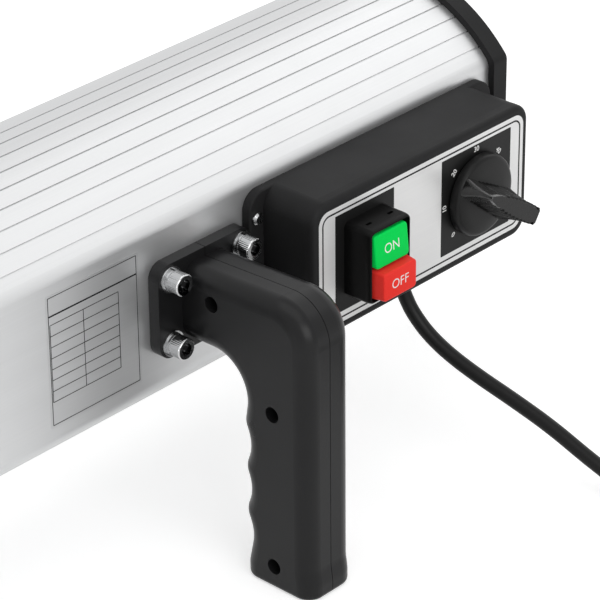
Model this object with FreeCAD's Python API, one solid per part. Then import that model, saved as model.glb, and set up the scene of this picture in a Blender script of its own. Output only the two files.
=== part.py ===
# Hand-held infrared paint dryer: an aluminium trough with a quartz lamp, a pistol grip and a control box.
# Millimetres. The lamp's length is along X, the light leaves along +Y and +Z is up.
# Everything is drawn from the middle of the handle's seat on the back wall, then moved to the grip.
import FreeCAD
import Part
import math
import os
from FreeCAD import Vector

# Common fits
FIT_GAP = 0.3
THREAD_GAP = 0.05
RUNNING_GAP = 0.05
HOLE_GAP = 0.3
ON_PLANE = 0.01
ALIGNED_DEG = 2.0

# Housing extrusion
HOUSING_LENGTH = 390.0
HOUSING_DEPTH = 86.0
HOUSING_WALL = 2.2
DOME_RADIUS = 80.0
DOME_CENTRE_Y = 60.5
DOME_DROP = 13.4
CORNER_RADIUS = 8.0
GROOVE_COUNT = 9
GROOVE_FIRST_DEG = 42.9
GROOVE_STEP_DEG = 6.5
GROOVE_WIDTH = 0.8
GROOVE_DEPTH = 0.6
PORT_RADIUS = 3.8
PORT_INSET = 5.4
PORT_BACK_DEG = 37.0
PORT_FRONT_DEG = -5.0
RIB_THICKNESS = 1.5
RIB_DEPTH = 5.0

# End caps
CAP_THICKNESS = 10.0
CAP_PROUD = 3.4
CAP_CORNER = 5.0
CAP_WALL = 3.0
CAP_EDGE_ROUND = 1.2
CROWN_INSET = 16.0
CROWN_CORNER = 12.0
CROWN_HEIGHT = 10.0
CROWN_ROUND = 7.0
LIP_WALL = 2.0
LIP_LENGTH = 10.0

# Pan heads: straight rim as a share of the height, flat crown as a share of the radius
PAN_RIM_SHARE = 0.55
PAN_CROWN_SHARE = 0.72

# End cap screws
CAP_SCREW_RADIUS = 2.0
CAP_SCREW_LENGTH = 16.0
CAP_HEAD_RADIUS = 3.5
CAP_HEAD_HEIGHT = 2.6
CAP_HEAD_SUNK = 3.4

# Lamp and reflector
REFLECTOR_SHEET = 0.8
REFLECTOR_APEX_Y = 32.0
REFLECTOR_LIP = 7.2
REFLECTOR_SETBACK = 11.0
REFLECTOR_SLOT_GAP = 0.2
END_PLATE_SHEET = 1.5
QUARTZ_RADIUS = 5.0
QUARTZ_WALL = 1.0
QUARTZ_SEAL = 16.0
FILAMENT_RADIUS = 0.8
FILAMENT_GAP = 0.1
FILAMENT_TAIL = 6.0
SUPPORT_COUNT = 9
SUPPORT_THICKNESS = 0.8
BASE_RADIUS = 7.5
BASE_LENGTH = 26.0
BASE_OUTSIDE = 9.0
BASE_POCKET = 9.0

# Front guard
GUARD_WIRE = 2.2
GUARD_SLOT_GAP = 0.2
GUARD_WELD = 0.4
GUARD_UPRIGHT_MARGIN = 16.0
GUARD_UPRIGHT_STEP = 22.0
GUARD_RAILS = 5
GUARD_RAIL_STEP = 20.0
GUARD_END_GAP = 3.0

# Handle
PLATE_WIDTH = 57.0
PLATE_HEIGHT = 45.0
PLATE_THICKNESS = 6.0
PLATE_CORNER = 7.0
HANDLE_WIDTH = 29.0
HANDLE_SIDE_ROUND = 8.0
HANDLE_WALL = 3.0
SEAM_GAP = 0.3
ARM_TOP = 18.0
ARM_RISE_DEG = 2.3
ARM_BOTTOM = -17.5
GRIP_FRONT = -39.7
GRIP_REAR = -77.6
GRIP_FOOT = -121.7
FOOT_FLARE = 1.0
FOOT_FLARE_HEIGHT = 7.0
FOOT_ROUND = 2.5
OUTER_BEND = 20.0
INNER_BEND = 17.0
RIDGE_FIRST_DROP = 27.5
RIDGE_PITCH = 21.8
RIDGE_COUNT = 3
RIDGE_SWING = 4.4
RIDGE_ROUND = 9.5
VALLEY_ROUND = 18.0

# Handle shell screws
SHELL_ARM_REACH = 23.2
SHELL_ARM_RISE = 6.5
SHELL_GRIP_FORWARD = 1.15
SHELL_GRIP_DROP = 16.5
SHELL_FOOT_RISE = 11.3
SHELL_SCREW_RADIUS = 2.0
SHELL_HEAD_RADIUS = 3.4
SHELL_HEAD_HEIGHT = 2.6
SHELL_HEAD_SEAT = 5.0
SHELL_SCREW_REACH = 9.0
SHELL_BOSS_RADIUS = 5.6

# Handle mounting screws
MOUNT_SPACING_X = 43.0
MOUNT_SPACING_Z = 31.0
MOUNT_SCREW_RADIUS = 3.0
MOUNT_HEAD_RADIUS = 5.0
MOUNT_HEAD_HEIGHT = 6.0
MOUNT_SOCKET_FLATS = 5.0
MOUNT_SOCKET_DEPTH = 3.0
MOUNT_HEAD_CHAMFER = 0.5
WASHER_RADIUS = 6.0
WASHER_THICKNESS = 1.4
SPRING_WASHER_RADIUS = 5.2
SPRING_WASHER_THICKNESS = 1.6
SPRING_WASHER_SPLIT = 1.0
NUT_PLATE_THICKNESS = 4.0
NUT_PLATE_MARGIN = 5.5

# Control box
BOX_PLATE_GAP = 0.8
BOX_CAP_GAP = 3.5
BOX_HEIGHT = 66.0
BOX_MID_Z = 1.5
BOX_DEPTH = 33.0
BOX_WALL = 3.0
BOX_CORNER = 9.0
BOX_FRONT_ROUND = 4.8
EAR_WIDTH = 8.5
EAR_THICKNESS = 4.5
EAR_ROUND = 1.0
EAR_SCREW_INSET_X = 4.2
EAR_SCREW_INSET_Z = 12.0
EAR_SCREW_RADIUS = 1.75
EAR_HEAD_RADIUS = 3.0
EAR_HEAD_HEIGHT = 2.2
SLOT_WIDTH = 0.9
SLOT_DEPTH = 1.1

# Control panel
PANEL_INSET_X = 3.6
PANEL_INSET_Z = 4.2
PANEL_THICKNESS = 0.8
PANEL_CORNER = 6.0

# Push-button switch
SWITCH_FROM_PANEL_EDGE = 29.6
SWITCH_RISE = 1.5
SWITCH_WIDTH = 27.0
SWITCH_HEIGHT = 36.0
SWITCH_COLLAR = 15.2
SWITCH_RIM = 1.4
SWITCH_FLOOR = 1.5
SWITCH_EDGE_ROUND = 1.5
SWITCH_BLOCK_WIDTH = 22.0
SWITCH_BLOCK_HEIGHT = 30.0
SWITCH_BLOCK_DEPTH = 20.0
MARK_LENGTH = 3.2
MARK_WIDTH = 1.4
MARK_DEPTH = 0.8
MARK_SPACING = 14.0
MARK_PROUD = 8.5
BUTTON_GAP = 0.3
BUTTON_SPLIT_DROP = 0.2
BUTTON_SKIRT = 7.5
BUTTON_ROUND = 0.7
ON_TILT = 1.6
ON_PROUD = 0.6
OFF_PROUD = 3.8
OFF_CHAMFER = 1.4
SPRING_WIRE = 0.8
SPRING_RADIUS = 3.2
SPRING_TURNS = 4
NUDGE_TURNS = 0.0005
SPRING_SEAT = 0.1

# Timer
TIMER_FROM_PANEL_EDGE = 33.0
TIMER_RISE = 0.5
TIMER_SIDE = 42.0
TIMER_DEPTH = 17.0
TIMER_EDGE_ROUND = 2.0
BUSH_RADIUS = 4.9
BUSH_PROUD = 3.2
NUT_FLATS = 14.0
NUT_THICKNESS = 2.5
SHAFT_RADIUS = 3.0
SHAFT_INSIDE = 10.0
SHAFT_PROUD = 17.0
KNOB_SHAFT_GAP = 0.02
KNOB_RADIUS = 19.5
KNOB_LIFT = 1.0
KNOB_SKIRT = 5.0
KNOB_SKIRT_TAPER = 0.5
KNOB_SKIRT_ROUND = 1.0
KNOB_CAVITY_RADIUS = 16.5
KNOB_CAVITY_DEPTH = 3.5
KNOB_HUB_RADIUS = 6.5
KNOB_HUB_CLEAR = 0.5
KNOB_SHAFT_END_GAP = 0.3
KNOB_POINTER_DEG = -34.0
BLADE_HEIGHT = 19.5
BLADE_SINK = 1.0
BLADE_BASE_HALF = 18.6
BLADE_BASE_WIDTH = 15.0
BLADE_CREST_HALF = 17.0
BLADE_CREST_WIDTH = 4.6
FLUTE_COUNT = 11
FLUTE_STEP = 2.7
FLUTE_RADIUS = 0.7
POINTER_NOTCH = 1.3

# Wiring pieces
GROMMET_HOLE_RADIUS = 6.0
GROMMET_FLANGE = 2.5
GROMMET_BORE = 4.0
GROMMET_LIP = 2.0
GROMMET_ABOVE_TERMINALS = 1.5
TERMINAL_LENGTH = 30.0
TERMINAL_HEIGHT = 16.0
TERMINAL_DEPTH = 12.0
TERMINAL_DROP = 6.0
TERMINAL_WAYS = 3
TERMINAL_SCREW_RADIUS = 2.0

# Power cord, gland and plug
CORD_RADIUS = 3.5
CORD_HEADING_DEG = -75.0
CORD_EXIT_Y = -18.1
CORD_ARC_SHARE = 0.45
GLAND_SHIFT = 1.1
GLAND_FLANGE_RADIUS = 8.0
GLAND_FLANGE = 1.6
GLAND_NECK_RADIUS = 6.0
GLAND_NECK_GAP = 0.1
GLAND_COLLAR = 4.0
GLAND_TAIL = 4.0
GLAND_BOOT_LENGTH = 6.4
GLAND_BOOT_RADIUS = 6.2
GLAND_TIP_RADIUS = 4.5
GLAND_LEAN_DEG = 22.0
# Free cord: its first run leaves straight out of the gland, then distance along the heading and height
CORD_FIRST_RUN = 6.8
CORD_POINTS = (
    (9.0, -51.5),
    (15.5, -58.9),
    (26.0, -66.7),
    (40.5, -74.3),
    (59.0, -82.4),
    (78.0, -91.6),
    (96.0, -102.7),
    (113.0, -111.8),
    (129.0, -116.3),
    (144.0, -116.3),
)
COIL_INNER = 26.5
COIL_OUTER = 49.3
COIL_LAYER = 7.6
COIL_SLACK = 0.3
COIL_LEAD = 29.0
COIL_TAIL = 31.0
TIE_WIDTH = 9.0
TIE_THICKNESS = 1.4
TIE_DEG = 75.0
PLUG_RADIUS = 18.5
PLUG_HEIGHT = 25.0
PLUG_ROUND = 3.0
PLUG_BOOT_LENGTH = 24.0
PLUG_BOOT_RADIUS = 8.5
PLUG_BOOT_TIP = 4.0
PIN_RADIUS = 2.4
PIN_LENGTH = 19.0
PIN_SPACING = 19.0
PIN_TIP_ROUND = 1.2

# Places that follow from the sizes above
HALF = HOUSING_LENGTH / 2
INNER_RADIUS = DOME_RADIUS - HOUSING_WALL
GUARD_Y = HOUSING_DEPTH - RIB_THICKNESS - GUARD_SLOT_GAP - GUARD_WIRE / 2
GUARD_RIB_Y = GUARD_Y - GUARD_WIRE / 2 - GUARD_SLOT_GAP - RIB_THICKNESS
REFLECTOR_RIM_Y = HOUSING_DEPTH - REFLECTOR_SETBACK
REFLECTOR_RISE = REFLECTOR_RIM_Y - REFLECTOR_APEX_Y
RIM_REACH = math.sqrt(INNER_RADIUS ** 2 - (REFLECTOR_RIM_Y - DOME_CENTRE_Y) ** 2) - DOME_DROP - FIT_GAP
REFLECTOR_HALF = RIM_REACH - REFLECTOR_LIP
REFLECTOR_FOCAL = REFLECTOR_HALF ** 2 / (4 * REFLECTOR_RISE)
RIM_FRONT_RIB_Y = REFLECTOR_RIM_Y + REFLECTOR_SLOT_GAP
RIM_BACK_RIB_Y = REFLECTOR_RIM_Y - REFLECTOR_SHEET - REFLECTOR_SLOT_GAP - RIB_THICKNESS
LAMP_Y = REFLECTOR_APEX_Y + REFLECTOR_FOCAL
LIP_END = HALF - LIP_LENGTH
PLATE_END = LIP_END - END_PLATE_SHEET
BASE_END = LIP_END + BASE_OUTSIDE
BASE_START = BASE_END - BASE_LENGTH
QUARTZ_HALF = BASE_START + BASE_POCKET
EAR_LEFT = PLATE_WIDTH / 2 + BOX_PLATE_GAP
EAR_RIGHT = HALF - BOX_CAP_GAP
BODY_LEFT = EAR_LEFT + EAR_WIDTH
BODY_RIGHT = EAR_RIGHT - EAR_WIDTH
BOX_MID_X = (EAR_LEFT + EAR_RIGHT) / 2
BOX_BOTTOM = BOX_MID_Z - BOX_HEIGHT / 2
BOX_TOP = BOX_MID_Z + BOX_HEIGHT / 2
TERMINAL_TOP = BOX_MID_Z - TERMINAL_DROP + TERMINAL_HEIGHT / 2
GROMMET_RISE = GROMMET_ABOVE_TERMINALS + GROMMET_HOLE_RADIUS + GROMMET_FLANGE
GROMMET_SEAT = Vector(BOX_MID_X, 0, TERMINAL_TOP + GROMMET_RISE)
PANEL_FRONT = -BOX_DEPTH - PANEL_THICKNESS
PANEL_LEFT = BODY_LEFT + PANEL_INSET_X
PANEL_RIGHT = BODY_RIGHT - PANEL_INSET_X
SWITCH_X = PANEL_LEFT + SWITCH_FROM_PANEL_EDGE
SWITCH_Z = BOX_MID_Z + SWITCH_RISE
SWITCH_FRONT = PANEL_FRONT - SWITCH_COLLAR
SWITCH_SEAT = PANEL_FRONT - SWITCH_FLOOR
BUTTON_SPLIT = SWITCH_Z - BUTTON_SPLIT_DROP
BUTTON_BACK = SWITCH_FRONT + BUTTON_SKIRT
TIMER_X = PANEL_RIGHT - TIMER_FROM_PANEL_EDGE
TIMER_Z = BOX_MID_Z + TIMER_RISE
FRONT_WALL_BACK = -BOX_DEPTH + BOX_WALL
KNOB_BASE = PANEL_FRONT - KNOB_LIFT
KNOB_TOP = KNOB_BASE - KNOB_SKIRT
GRIP_MIDDLE = Vector(0, (GRIP_FRONT + GRIP_REAR) / 2, (ARM_BOTTOM + GRIP_FOOT) / 2)
SHELL_GRIP_Y = GRIP_MIDDLE.y + SHELL_GRIP_FORWARD
SHELL_SCREW_PLACES = (
    (-SHELL_ARM_REACH, SHELL_ARM_RISE),
    (SHELL_GRIP_Y, ARM_BOTTOM - SHELL_GRIP_DROP),
    (SHELL_GRIP_Y, GRIP_FOOT + SHELL_FOOT_RISE),
)
X_AXIS = Vector(1, 0, 0)
Y_AXIS = Vector(0, 1, 0)
Z_AXIS = Vector(0, 0, 1)
HEADING = Vector(math.cos(math.radians(CORD_HEADING_DEG)), math.sin(math.radians(CORD_HEADING_DEG)), 0)


# Shared drawing helpers

def box(x0, x1, y0, y1, z0, z1):
    """A block between two corners."""
    return Part.makeBox(x1 - x0, y1 - y0, z1 - z0, Vector(x0, y0, z0))


def rod(radius, start, end):
    """A round bar between two points."""
    along = end - start
    return Part.makeCylinder(radius, along.Length, start, along)


def straight_edges(shape, direction):
    """The straight edges that run along a direction."""
    aligned = math.cos(math.radians(ALIGNED_DEG))
    found = []
    for edge in shape.Edges:
        straight = edge.Curve.TypeId == "Part::GeomLine"
        if straight and abs(edge.tangentAt(edge.FirstParameter) * direction) > aligned:
            found.append(edge)
    return found


def edges_on_plane(shape, axis, value):
    """The edges that lie in the plane where a coordinate has one value."""
    found = []
    for edge in shape.Edges:
        bounds = edge.BoundBox
        low = (bounds.XMin, bounds.YMin, bounds.ZMin)[axis]
        high = (bounds.XMax, bounds.YMax, bounds.ZMax)[axis]
        if abs(low - value) < ON_PLANE and abs(high - value) < ON_PLANE:
            found.append(edge)
    return found


def rounded_block(x0, x1, y0, y1, z0, z1, corner):
    """A block whose four edges along Y are rounded."""
    block = box(x0, x1, y0, y1, z0, z1)
    return block.makeFillet(corner, straight_edges(block, Y_AXIS))


def turned(points, origin, axis, side):
    """A solid of revolution: (radius, height) points about an axis, drawn on one side of it."""
    corners = [origin + side * radius + axis * height for radius, height in points]
    face = Part.Face(Part.makePolygon(corners + corners[:1]))
    return face.revolve(origin, axis, 360)


def rounded_outline(corners):
    """A closed YZ wire through (y, z, radius) corners, each rounded by a tangent arc."""
    ends = []
    count = len(corners)
    for i in range(count):
        here = Vector(0, corners[i][0], corners[i][1])
        before = Vector(0, corners[i - 1][0], corners[i - 1][1])
        after = Vector(0, corners[(i + 1) % count][0], corners[(i + 1) % count][1])
        ends.append(rounded_corner(before, here, after, corners[i][2]))
    edges = []
    for i in range(count):
        start, middle, end = ends[i]
        if (end - start).Length > ON_PLANE:
            edges.append(Part.Arc(start, middle, end).toShape())
        following = ends[(i + 1) % count][0]
        if (following - end).Length > ON_PLANE:
            edges.append(Part.LineSegment(end, following).toShape())
    return Part.Wire(edges)


def rounded_corner(before, here, after, radius):
    """Start, middle and end of the arc that rounds a corner."""
    back = (before - here).normalize()
    on = (after - here).normalize()
    half = math.acos(max(-1.0, min(1.0, back * on))) / 2
    inward = back + on
    if radius == 0 or inward.Length == 0:
        return here, here, here
    reach = radius / math.tan(half)
    depth = radius / math.sin(half) - radius
    return here + back * reach, here + inward.normalize() * depth, here + on * reach


def tangent_arc(start, tangent, end):
    """The arc from one point to another that leaves along a tangent."""
    chord = end - start
    side = tangent - chord * ((tangent * chord) / (chord * chord))
    if side.Length == 0:
        return Part.LineSegment(start, end).toShape()
    lean = math.acos(max(-1.0, min(1.0, (tangent * chord) / chord.Length)))
    middle = (start + end) * 0.5 + side.normalize() * (chord.Length / 2 * math.tan(lean / 2))
    return Part.Arc(start, middle, end).toShape()


def biarc(start, start_tangent, end, end_tangent):
    """Two tangent arcs that join two points with given directions."""
    across = end - start
    total = start_tangent + end_tangent
    spread = 2 * (1 - start_tangent * end_tangent)
    slope = across * total
    reach = (math.sqrt(slope * slope + spread * (across * across)) - slope) / spread
    first = start + start_tangent * reach
    second = end - end_tangent * reach
    joint = (first + second) * 0.5
    return [tangent_arc(start, start_tangent, joint), tangent_arc(joint, (second - first).normalize(), end)]


def wound_path(place, turns, steps_per_turn):
    """Biarcs along a winding; a place function gives the point at a number of turns."""
    count = turns * steps_per_turn
    turns_passed = [i / steps_per_turn for i in range(count + 1)]
    points = [place(turn) for turn in turns_passed]
    tangents = [way_along(place, turn) for turn in turns_passed]
    edges = []
    for i in range(count):
        edges += biarc(points[i], tangents[i], points[i + 1], tangents[i + 1])
    return edges


def way_along(place, turn):
    """The way a winding points at a number of turns."""
    return (place(turn + NUDGE_TURNS) - place(turn - NUDGE_TURNS)).normalize()


def tube_along(edges, radius):
    """A round tube along a path of lines and arcs."""
    path = Part.Wire(edges)
    start = edges[0].valueAt(edges[0].FirstParameter)
    along = edges[0].tangentAt(edges[0].FirstParameter)
    ring = Part.Wire([Part.Circle(start, along, radius).toShape()])
    sweep = Part.BRepOffsetAPI.MakePipeShell(path)
    sweep.add(ring)
    sweep.build()
    sweep.makeSolid()
    return sweep.shape()


def pan_screw(head_radius, head_height, shank_radius, shank_length, seat, outward):
    """A pan-head screw; the head stands outward of its seat."""
    inward = outward * -1
    screw = rod(shank_radius, seat, seat + inward * shank_length)
    rim = head_height * PAN_RIM_SHARE
    crown = head_radius * PAN_CROWN_SHARE
    head = [(0, 0), (head_radius, 0), (head_radius, rim), (crown, head_height), (0, head_height)]
    return screw.fuse(turned(head, seat, outward, Z_AXIS)).removeSplitter()


# Housing section

def dome_point(radius, degrees, side):
    """A point on the upper or lower dome, by its angle from straight up towards the back."""
    angle = math.radians(degrees)
    height = radius * math.cos(angle) - DOME_DROP
    return Vector(0, DOME_CENTRE_Y - radius * math.sin(angle), side * height)


def dome_height(y, radius):
    """Height of a dome of some radius at a depth."""
    return math.sqrt(radius ** 2 - (y - DOME_CENTRE_Y) ** 2) - DOME_DROP


def outline(offset, corner, front):
    """The housing's closed section grown by an offset: flat back, round corners, domes, straight front."""
    radius = DOME_RADIUS + offset
    centre_y = corner - offset
    centre_z = math.sqrt((radius - corner) ** 2 - (centre_y - DOME_CENTRE_Y) ** 2) - DOME_DROP
    seam = math.degrees(math.atan2(DOME_CENTRE_Y - centre_y, centre_z + DOME_DROP))
    nose = math.degrees(math.asin((DOME_CENTRE_Y - front) / radius))
    half_corner = math.radians((90 + seam) / 2)
    edges = []
    tips = {}
    for side in (1, -1):
        flat = Vector(0, -offset, side * centre_z)
        bend_y = centre_y - corner * math.sin(half_corner)
        bend_z = centre_z + corner * math.cos(half_corner)
        bend = Vector(0, bend_y, side * bend_z)
        meet = dome_point(radius, seam, side)
        crest = dome_point(radius, (seam + nose) / 2, side)
        tips[side] = (flat, dome_point(radius, nose, side))
        edges.append(Part.Arc(flat, bend, meet).toShape())
        edges.append(Part.Arc(meet, crest, tips[side][1]).toShape())
    edges.append(Part.LineSegment(tips[1][0], tips[-1][0]).toShape())
    edges.append(Part.LineSegment(tips[1][1], tips[-1][1]).toShape())
    return Part.Face(Part.Wire(Part.__sortEdges__(edges)))


def along_x(face, x0, x1):
    """A section carried along X."""
    return face.translated(X_AXIS * x0).extrude(X_AXIS * (x1 - x0))


def port_centres():
    """Axes of the four screw ports in the section."""
    radius = DOME_RADIUS - PORT_INSET
    places = []
    for side in (1, -1):
        places += [dome_point(radius, degrees, side) for degrees in (PORT_BACK_DEG, PORT_FRONT_DEG)]
    return places


def disc(centre, radius):
    """A round face across X."""
    return Part.Face(Part.Wire([Part.Circle(centre, X_AXIS, radius).toShape()]))


def rib_face(y, side):
    """One inner rib of the section, rooted in the middle of the wall."""
    top = dome_height(y, INNER_RADIUS)
    low = side * (top - RIB_DEPTH)
    high = side * (top + HOUSING_WALL / 2)
    front = y + RIB_THICKNESS
    corners = [Vector(0, y, low), Vector(0, front, low), Vector(0, front, high), Vector(0, y, high)]
    return Part.Face(Part.makePolygon(corners + corners[:1]))


def groove_face(index, side):
    """One narrow groove in the outer face of a dome."""
    degrees = GROOVE_FIRST_DEG - index * GROOVE_STEP_DEG
    out = dome_point(DOME_RADIUS + GROOVE_DEPTH, degrees, side)
    floor = dome_point(DOME_RADIUS - GROOVE_DEPTH, degrees, side)
    across = (out - floor).cross(X_AXIS).normalize() * (GROOVE_WIDTH / 2)
    corners = [floor - across, out - across, out + across, floor + across]
    return Part.Face(Part.makePolygon(corners + corners[:1]))


def housing_extrusion():
    """The ribbed aluminium trough with its screw ports, slots and holes."""
    section = outline(0, CORNER_RADIUS, HOUSING_DEPTH)
    inside = outline(-HOUSING_WALL, CORNER_RADIUS - HOUSING_WALL, HOUSING_DEPTH + HOUSING_WALL)
    section = section.cut(inside)
    lip_y = HOUSING_DEPTH - RIB_THICKNESS
    added = [disc(centre, PORT_RADIUS) for centre in port_centres()]
    for side in (1, -1):
        added += [rib_face(y, side) for y in (RIM_BACK_RIB_Y, RIM_FRONT_RIB_Y, GUARD_RIB_Y, lip_y)]
    section = section.fuse(added).removeSplitter()
    removed = [disc(centre, CAP_SCREW_RADIUS + THREAD_GAP) for centre in port_centres()]
    for side in (1, -1):
        removed += [groove_face(i, side) for i in range(GROOVE_COUNT)]
    section = section.cut(removed)
    housing = along_x(section.Faces[0], -HALF, HALF)
    through = Y_AXIS * HOUSING_WALL
    holes = [rod(MOUNT_SCREW_RADIUS + HOLE_GAP, seat, seat + through) for seat in mount_places(0)]
    holes += [rod(EAR_SCREW_RADIUS + THREAD_GAP, seat, seat + through) for seat in ear_screw_places(0)]
    holes.append(rod(GROMMET_HOLE_RADIUS, GROMMET_SEAT, GROMMET_SEAT + through))
    return housing.cut(holes)


# End caps and lamp

def end_cap():
    """The right-hand cap: flange, rounded crown, hollow back, locating lip and screw bosses."""
    face = HALF + CAP_THICKNESS
    cap = along_x(outline(CAP_PROUD, CAP_CORNER, HOUSING_DEPTH + CAP_PROUD), HALF, face)
    cap = cap.makeFillet(CAP_EDGE_ROUND, edges_on_plane(cap, 0, face))
    crown = outline(-CROWN_INSET, CROWN_CORNER, HOUSING_DEPTH - CROWN_INSET)
    crown = along_x(crown, face - CAP_WALL, face + CROWN_HEIGHT)
    crown = crown.makeFillet(CROWN_ROUND, edges_on_plane(crown, 0, face + CROWN_HEIGHT))
    cap = cap.fuse(crown)
    lip_offset = -HOUSING_WALL - FIT_GAP
    pocket_offset = lip_offset - LIP_WALL
    pocket = outline(pocket_offset, CORNER_RADIUS + pocket_offset, HOUSING_DEPTH + pocket_offset)
    cap = cap.cut(along_x(pocket, HALF, face - CAP_WALL))
    room_inset = CROWN_INSET + CAP_WALL
    room_end = face + CROWN_HEIGHT - CAP_WALL
    room = along_x(outline(-room_inset, CROWN_CORNER - CAP_WALL, HOUSING_DEPTH - room_inset), HALF, room_end)
    cap = cap.cut(room.makeFillet(CROWN_ROUND - CAP_WALL, edges_on_plane(room, 0, room_end)))
    lip_front = RIM_BACK_RIB_Y - FIT_GAP
    lip = outline(lip_offset, CORNER_RADIUS + lip_offset, lip_front)
    lip = lip.cut(outline(pocket_offset, CORNER_RADIUS + pocket_offset, lip_front + LIP_WALL))
    lip = lip.cut([disc(centre, PORT_RADIUS + FIT_GAP) for centre in port_centres()])
    lip = along_x(lip, LIP_END, HALF)
    bosses = [along_x(disc(centre, PORT_RADIUS), HALF, face - CAP_WALL) for centre in port_centres()]
    cap = cap.fuse([lip] + bosses).removeSplitter()
    seat = face - CAP_HEAD_SUNK
    holes = [along_x(disc(centre, CAP_SCREW_RADIUS + HOLE_GAP), HALF, face) for centre in port_centres()]
    holes += [along_x(disc(centre, CAP_HEAD_RADIUS + HOLE_GAP), seat, face) for centre in port_centres()]
    return cap.cut(holes)


def mirrored(shape):
    """The left-hand copy of a right-hand piece."""
    return shape.mirror(Vector(0, 0, 0), X_AXIS)


def end_cap_screws():
    """Four pan-head screws in each cap, into the ports of the extrusion."""
    seat = X_AXIS * (HALF + CAP_THICKNESS - CAP_HEAD_SUNK)
    screws = []
    for centre in port_centres():
        place = centre + seat
        screw = pan_screw(CAP_HEAD_RADIUS, CAP_HEAD_HEIGHT, CAP_SCREW_RADIUS, CAP_SCREW_LENGTH, place, X_AXIS)
        screws.append(screw)
    return Part.makeCompound(screws + [mirrored(screw) for screw in screws])


def reflector():
    """A parabolic sheet trough with flat rims that slide in the extrusion's slots."""
    edges = []
    ends = []
    for y in (REFLECTOR_RIM_Y, REFLECTOR_RIM_Y - REFLECTOR_SHEET):
        pull = y - 2 * REFLECTOR_RISE
        curve = Part.BezierCurve()
        curve.setPoles([Vector(0, y, REFLECTOR_HALF), Vector(0, pull, 0), Vector(0, y, -REFLECTOR_HALF)])
        edges.append(curve.toShape())
        heights = (REFLECTOR_HALF, RIM_REACH, -REFLECTOR_HALF, -RIM_REACH)
        ends.append([Vector(0, y, height) for height in heights])
    front, back = ends
    for inner, outer in ((0, 1), (2, 3)):
        corners = [front[inner], front[outer], back[outer], back[inner]]
        edges += [Part.LineSegment(corners[i], corners[i + 1]).toShape() for i in range(3)]
    return along_x(Part.Face(Part.Wire(Part.__sortEdges__(edges))), -PLATE_END, PLATE_END)


def lamp_end_plate():
    """The right-hand sheet bulkhead that carries one end of the lamp."""
    grow = -HOUSING_WALL - FIT_GAP
    plate = outline(grow, CORNER_RADIUS + grow, RIM_BACK_RIB_Y - FIT_GAP)
    holes = [disc(centre, PORT_RADIUS + FIT_GAP) for centre in port_centres()]
    holes.append(disc(Vector(0, LAMP_Y, 0), BASE_RADIUS + HOLE_GAP))
    return along_x(plate.cut(holes), PLATE_END, LIP_END)


def quartz_tube():
    """The lamp's quartz envelope, sealed at both ends around the filament's tails."""
    middle = Vector(0, LAMP_Y, 0)
    reach = X_AXIS * QUARTZ_HALF
    hollow = X_AXIS * (QUARTZ_HALF - QUARTZ_SEAL)
    tube = rod(QUARTZ_RADIUS, middle - reach, middle + reach)
    tube = tube.cut(rod(QUARTZ_RADIUS - QUARTZ_WALL, middle - hollow, middle + hollow))
    return tube.cut(rod(FILAMENT_RADIUS + FILAMENT_GAP, middle - reach, middle + reach))


def lamp_filament():
    """The glowing wire with its round supports."""
    middle = Vector(0, LAMP_Y, 0)
    reach = X_AXIS * (QUARTZ_HALF + FILAMENT_TAIL)
    wire = rod(FILAMENT_RADIUS, middle - reach, middle + reach)
    step = 2 * (QUARTZ_HALF - QUARTZ_SEAL) / (SUPPORT_COUNT + 1)
    support_radius = QUARTZ_RADIUS - QUARTZ_WALL - FILAMENT_GAP
    supports = []
    for i in range(SUPPORT_COUNT):
        place = middle + X_AXIS * ((i - (SUPPORT_COUNT - 1) / 2) * step)
        supports.append(rod(support_radius, place, place + X_AXIS * SUPPORT_THICKNESS))
    return wire.fuse(supports).removeSplitter()


def lamp_base():
    """The right-hand ceramic base with its pocket for the quartz tube."""
    start = Vector(BASE_START, LAMP_Y, 0)
    end = Vector(BASE_END, LAMP_Y, 0)
    pocket = rod(QUARTZ_RADIUS + FILAMENT_GAP, start, Vector(QUARTZ_HALF, LAMP_Y, 0))
    bore = rod(FILAMENT_RADIUS + FILAMENT_GAP, start, end)
    return rod(BASE_RADIUS, start, end).cut([pocket, bore])


def front_guard():
    """A welded wire grille whose uprights slide in the extrusion's front slots."""
    reach = dome_height(GUARD_Y + GUARD_WIRE / 2, INNER_RADIUS) - FIT_GAP
    rail_y = GUARD_Y - GUARD_WIRE + GUARD_WELD
    rail_end = HALF - GUARD_END_GAP
    uprights = int(2 * (rail_end - GUARD_UPRIGHT_MARGIN) / GUARD_UPRIGHT_STEP) + 1
    wires = []
    for i in range(uprights):
        x = (i - (uprights - 1) / 2) * GUARD_UPRIGHT_STEP
        wires.append(rod(GUARD_WIRE / 2, Vector(x, GUARD_Y, -reach), Vector(x, GUARD_Y, reach)))
    for i in range(GUARD_RAILS):
        z = (i - (GUARD_RAILS - 1) / 2) * GUARD_RAIL_STEP
        wires.append(rod(GUARD_WIRE / 2, Vector(-rail_end, rail_y, z), Vector(rail_end, rail_y, z)))
    return wires[0].fuse(wires[1:])


# Handle

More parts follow.
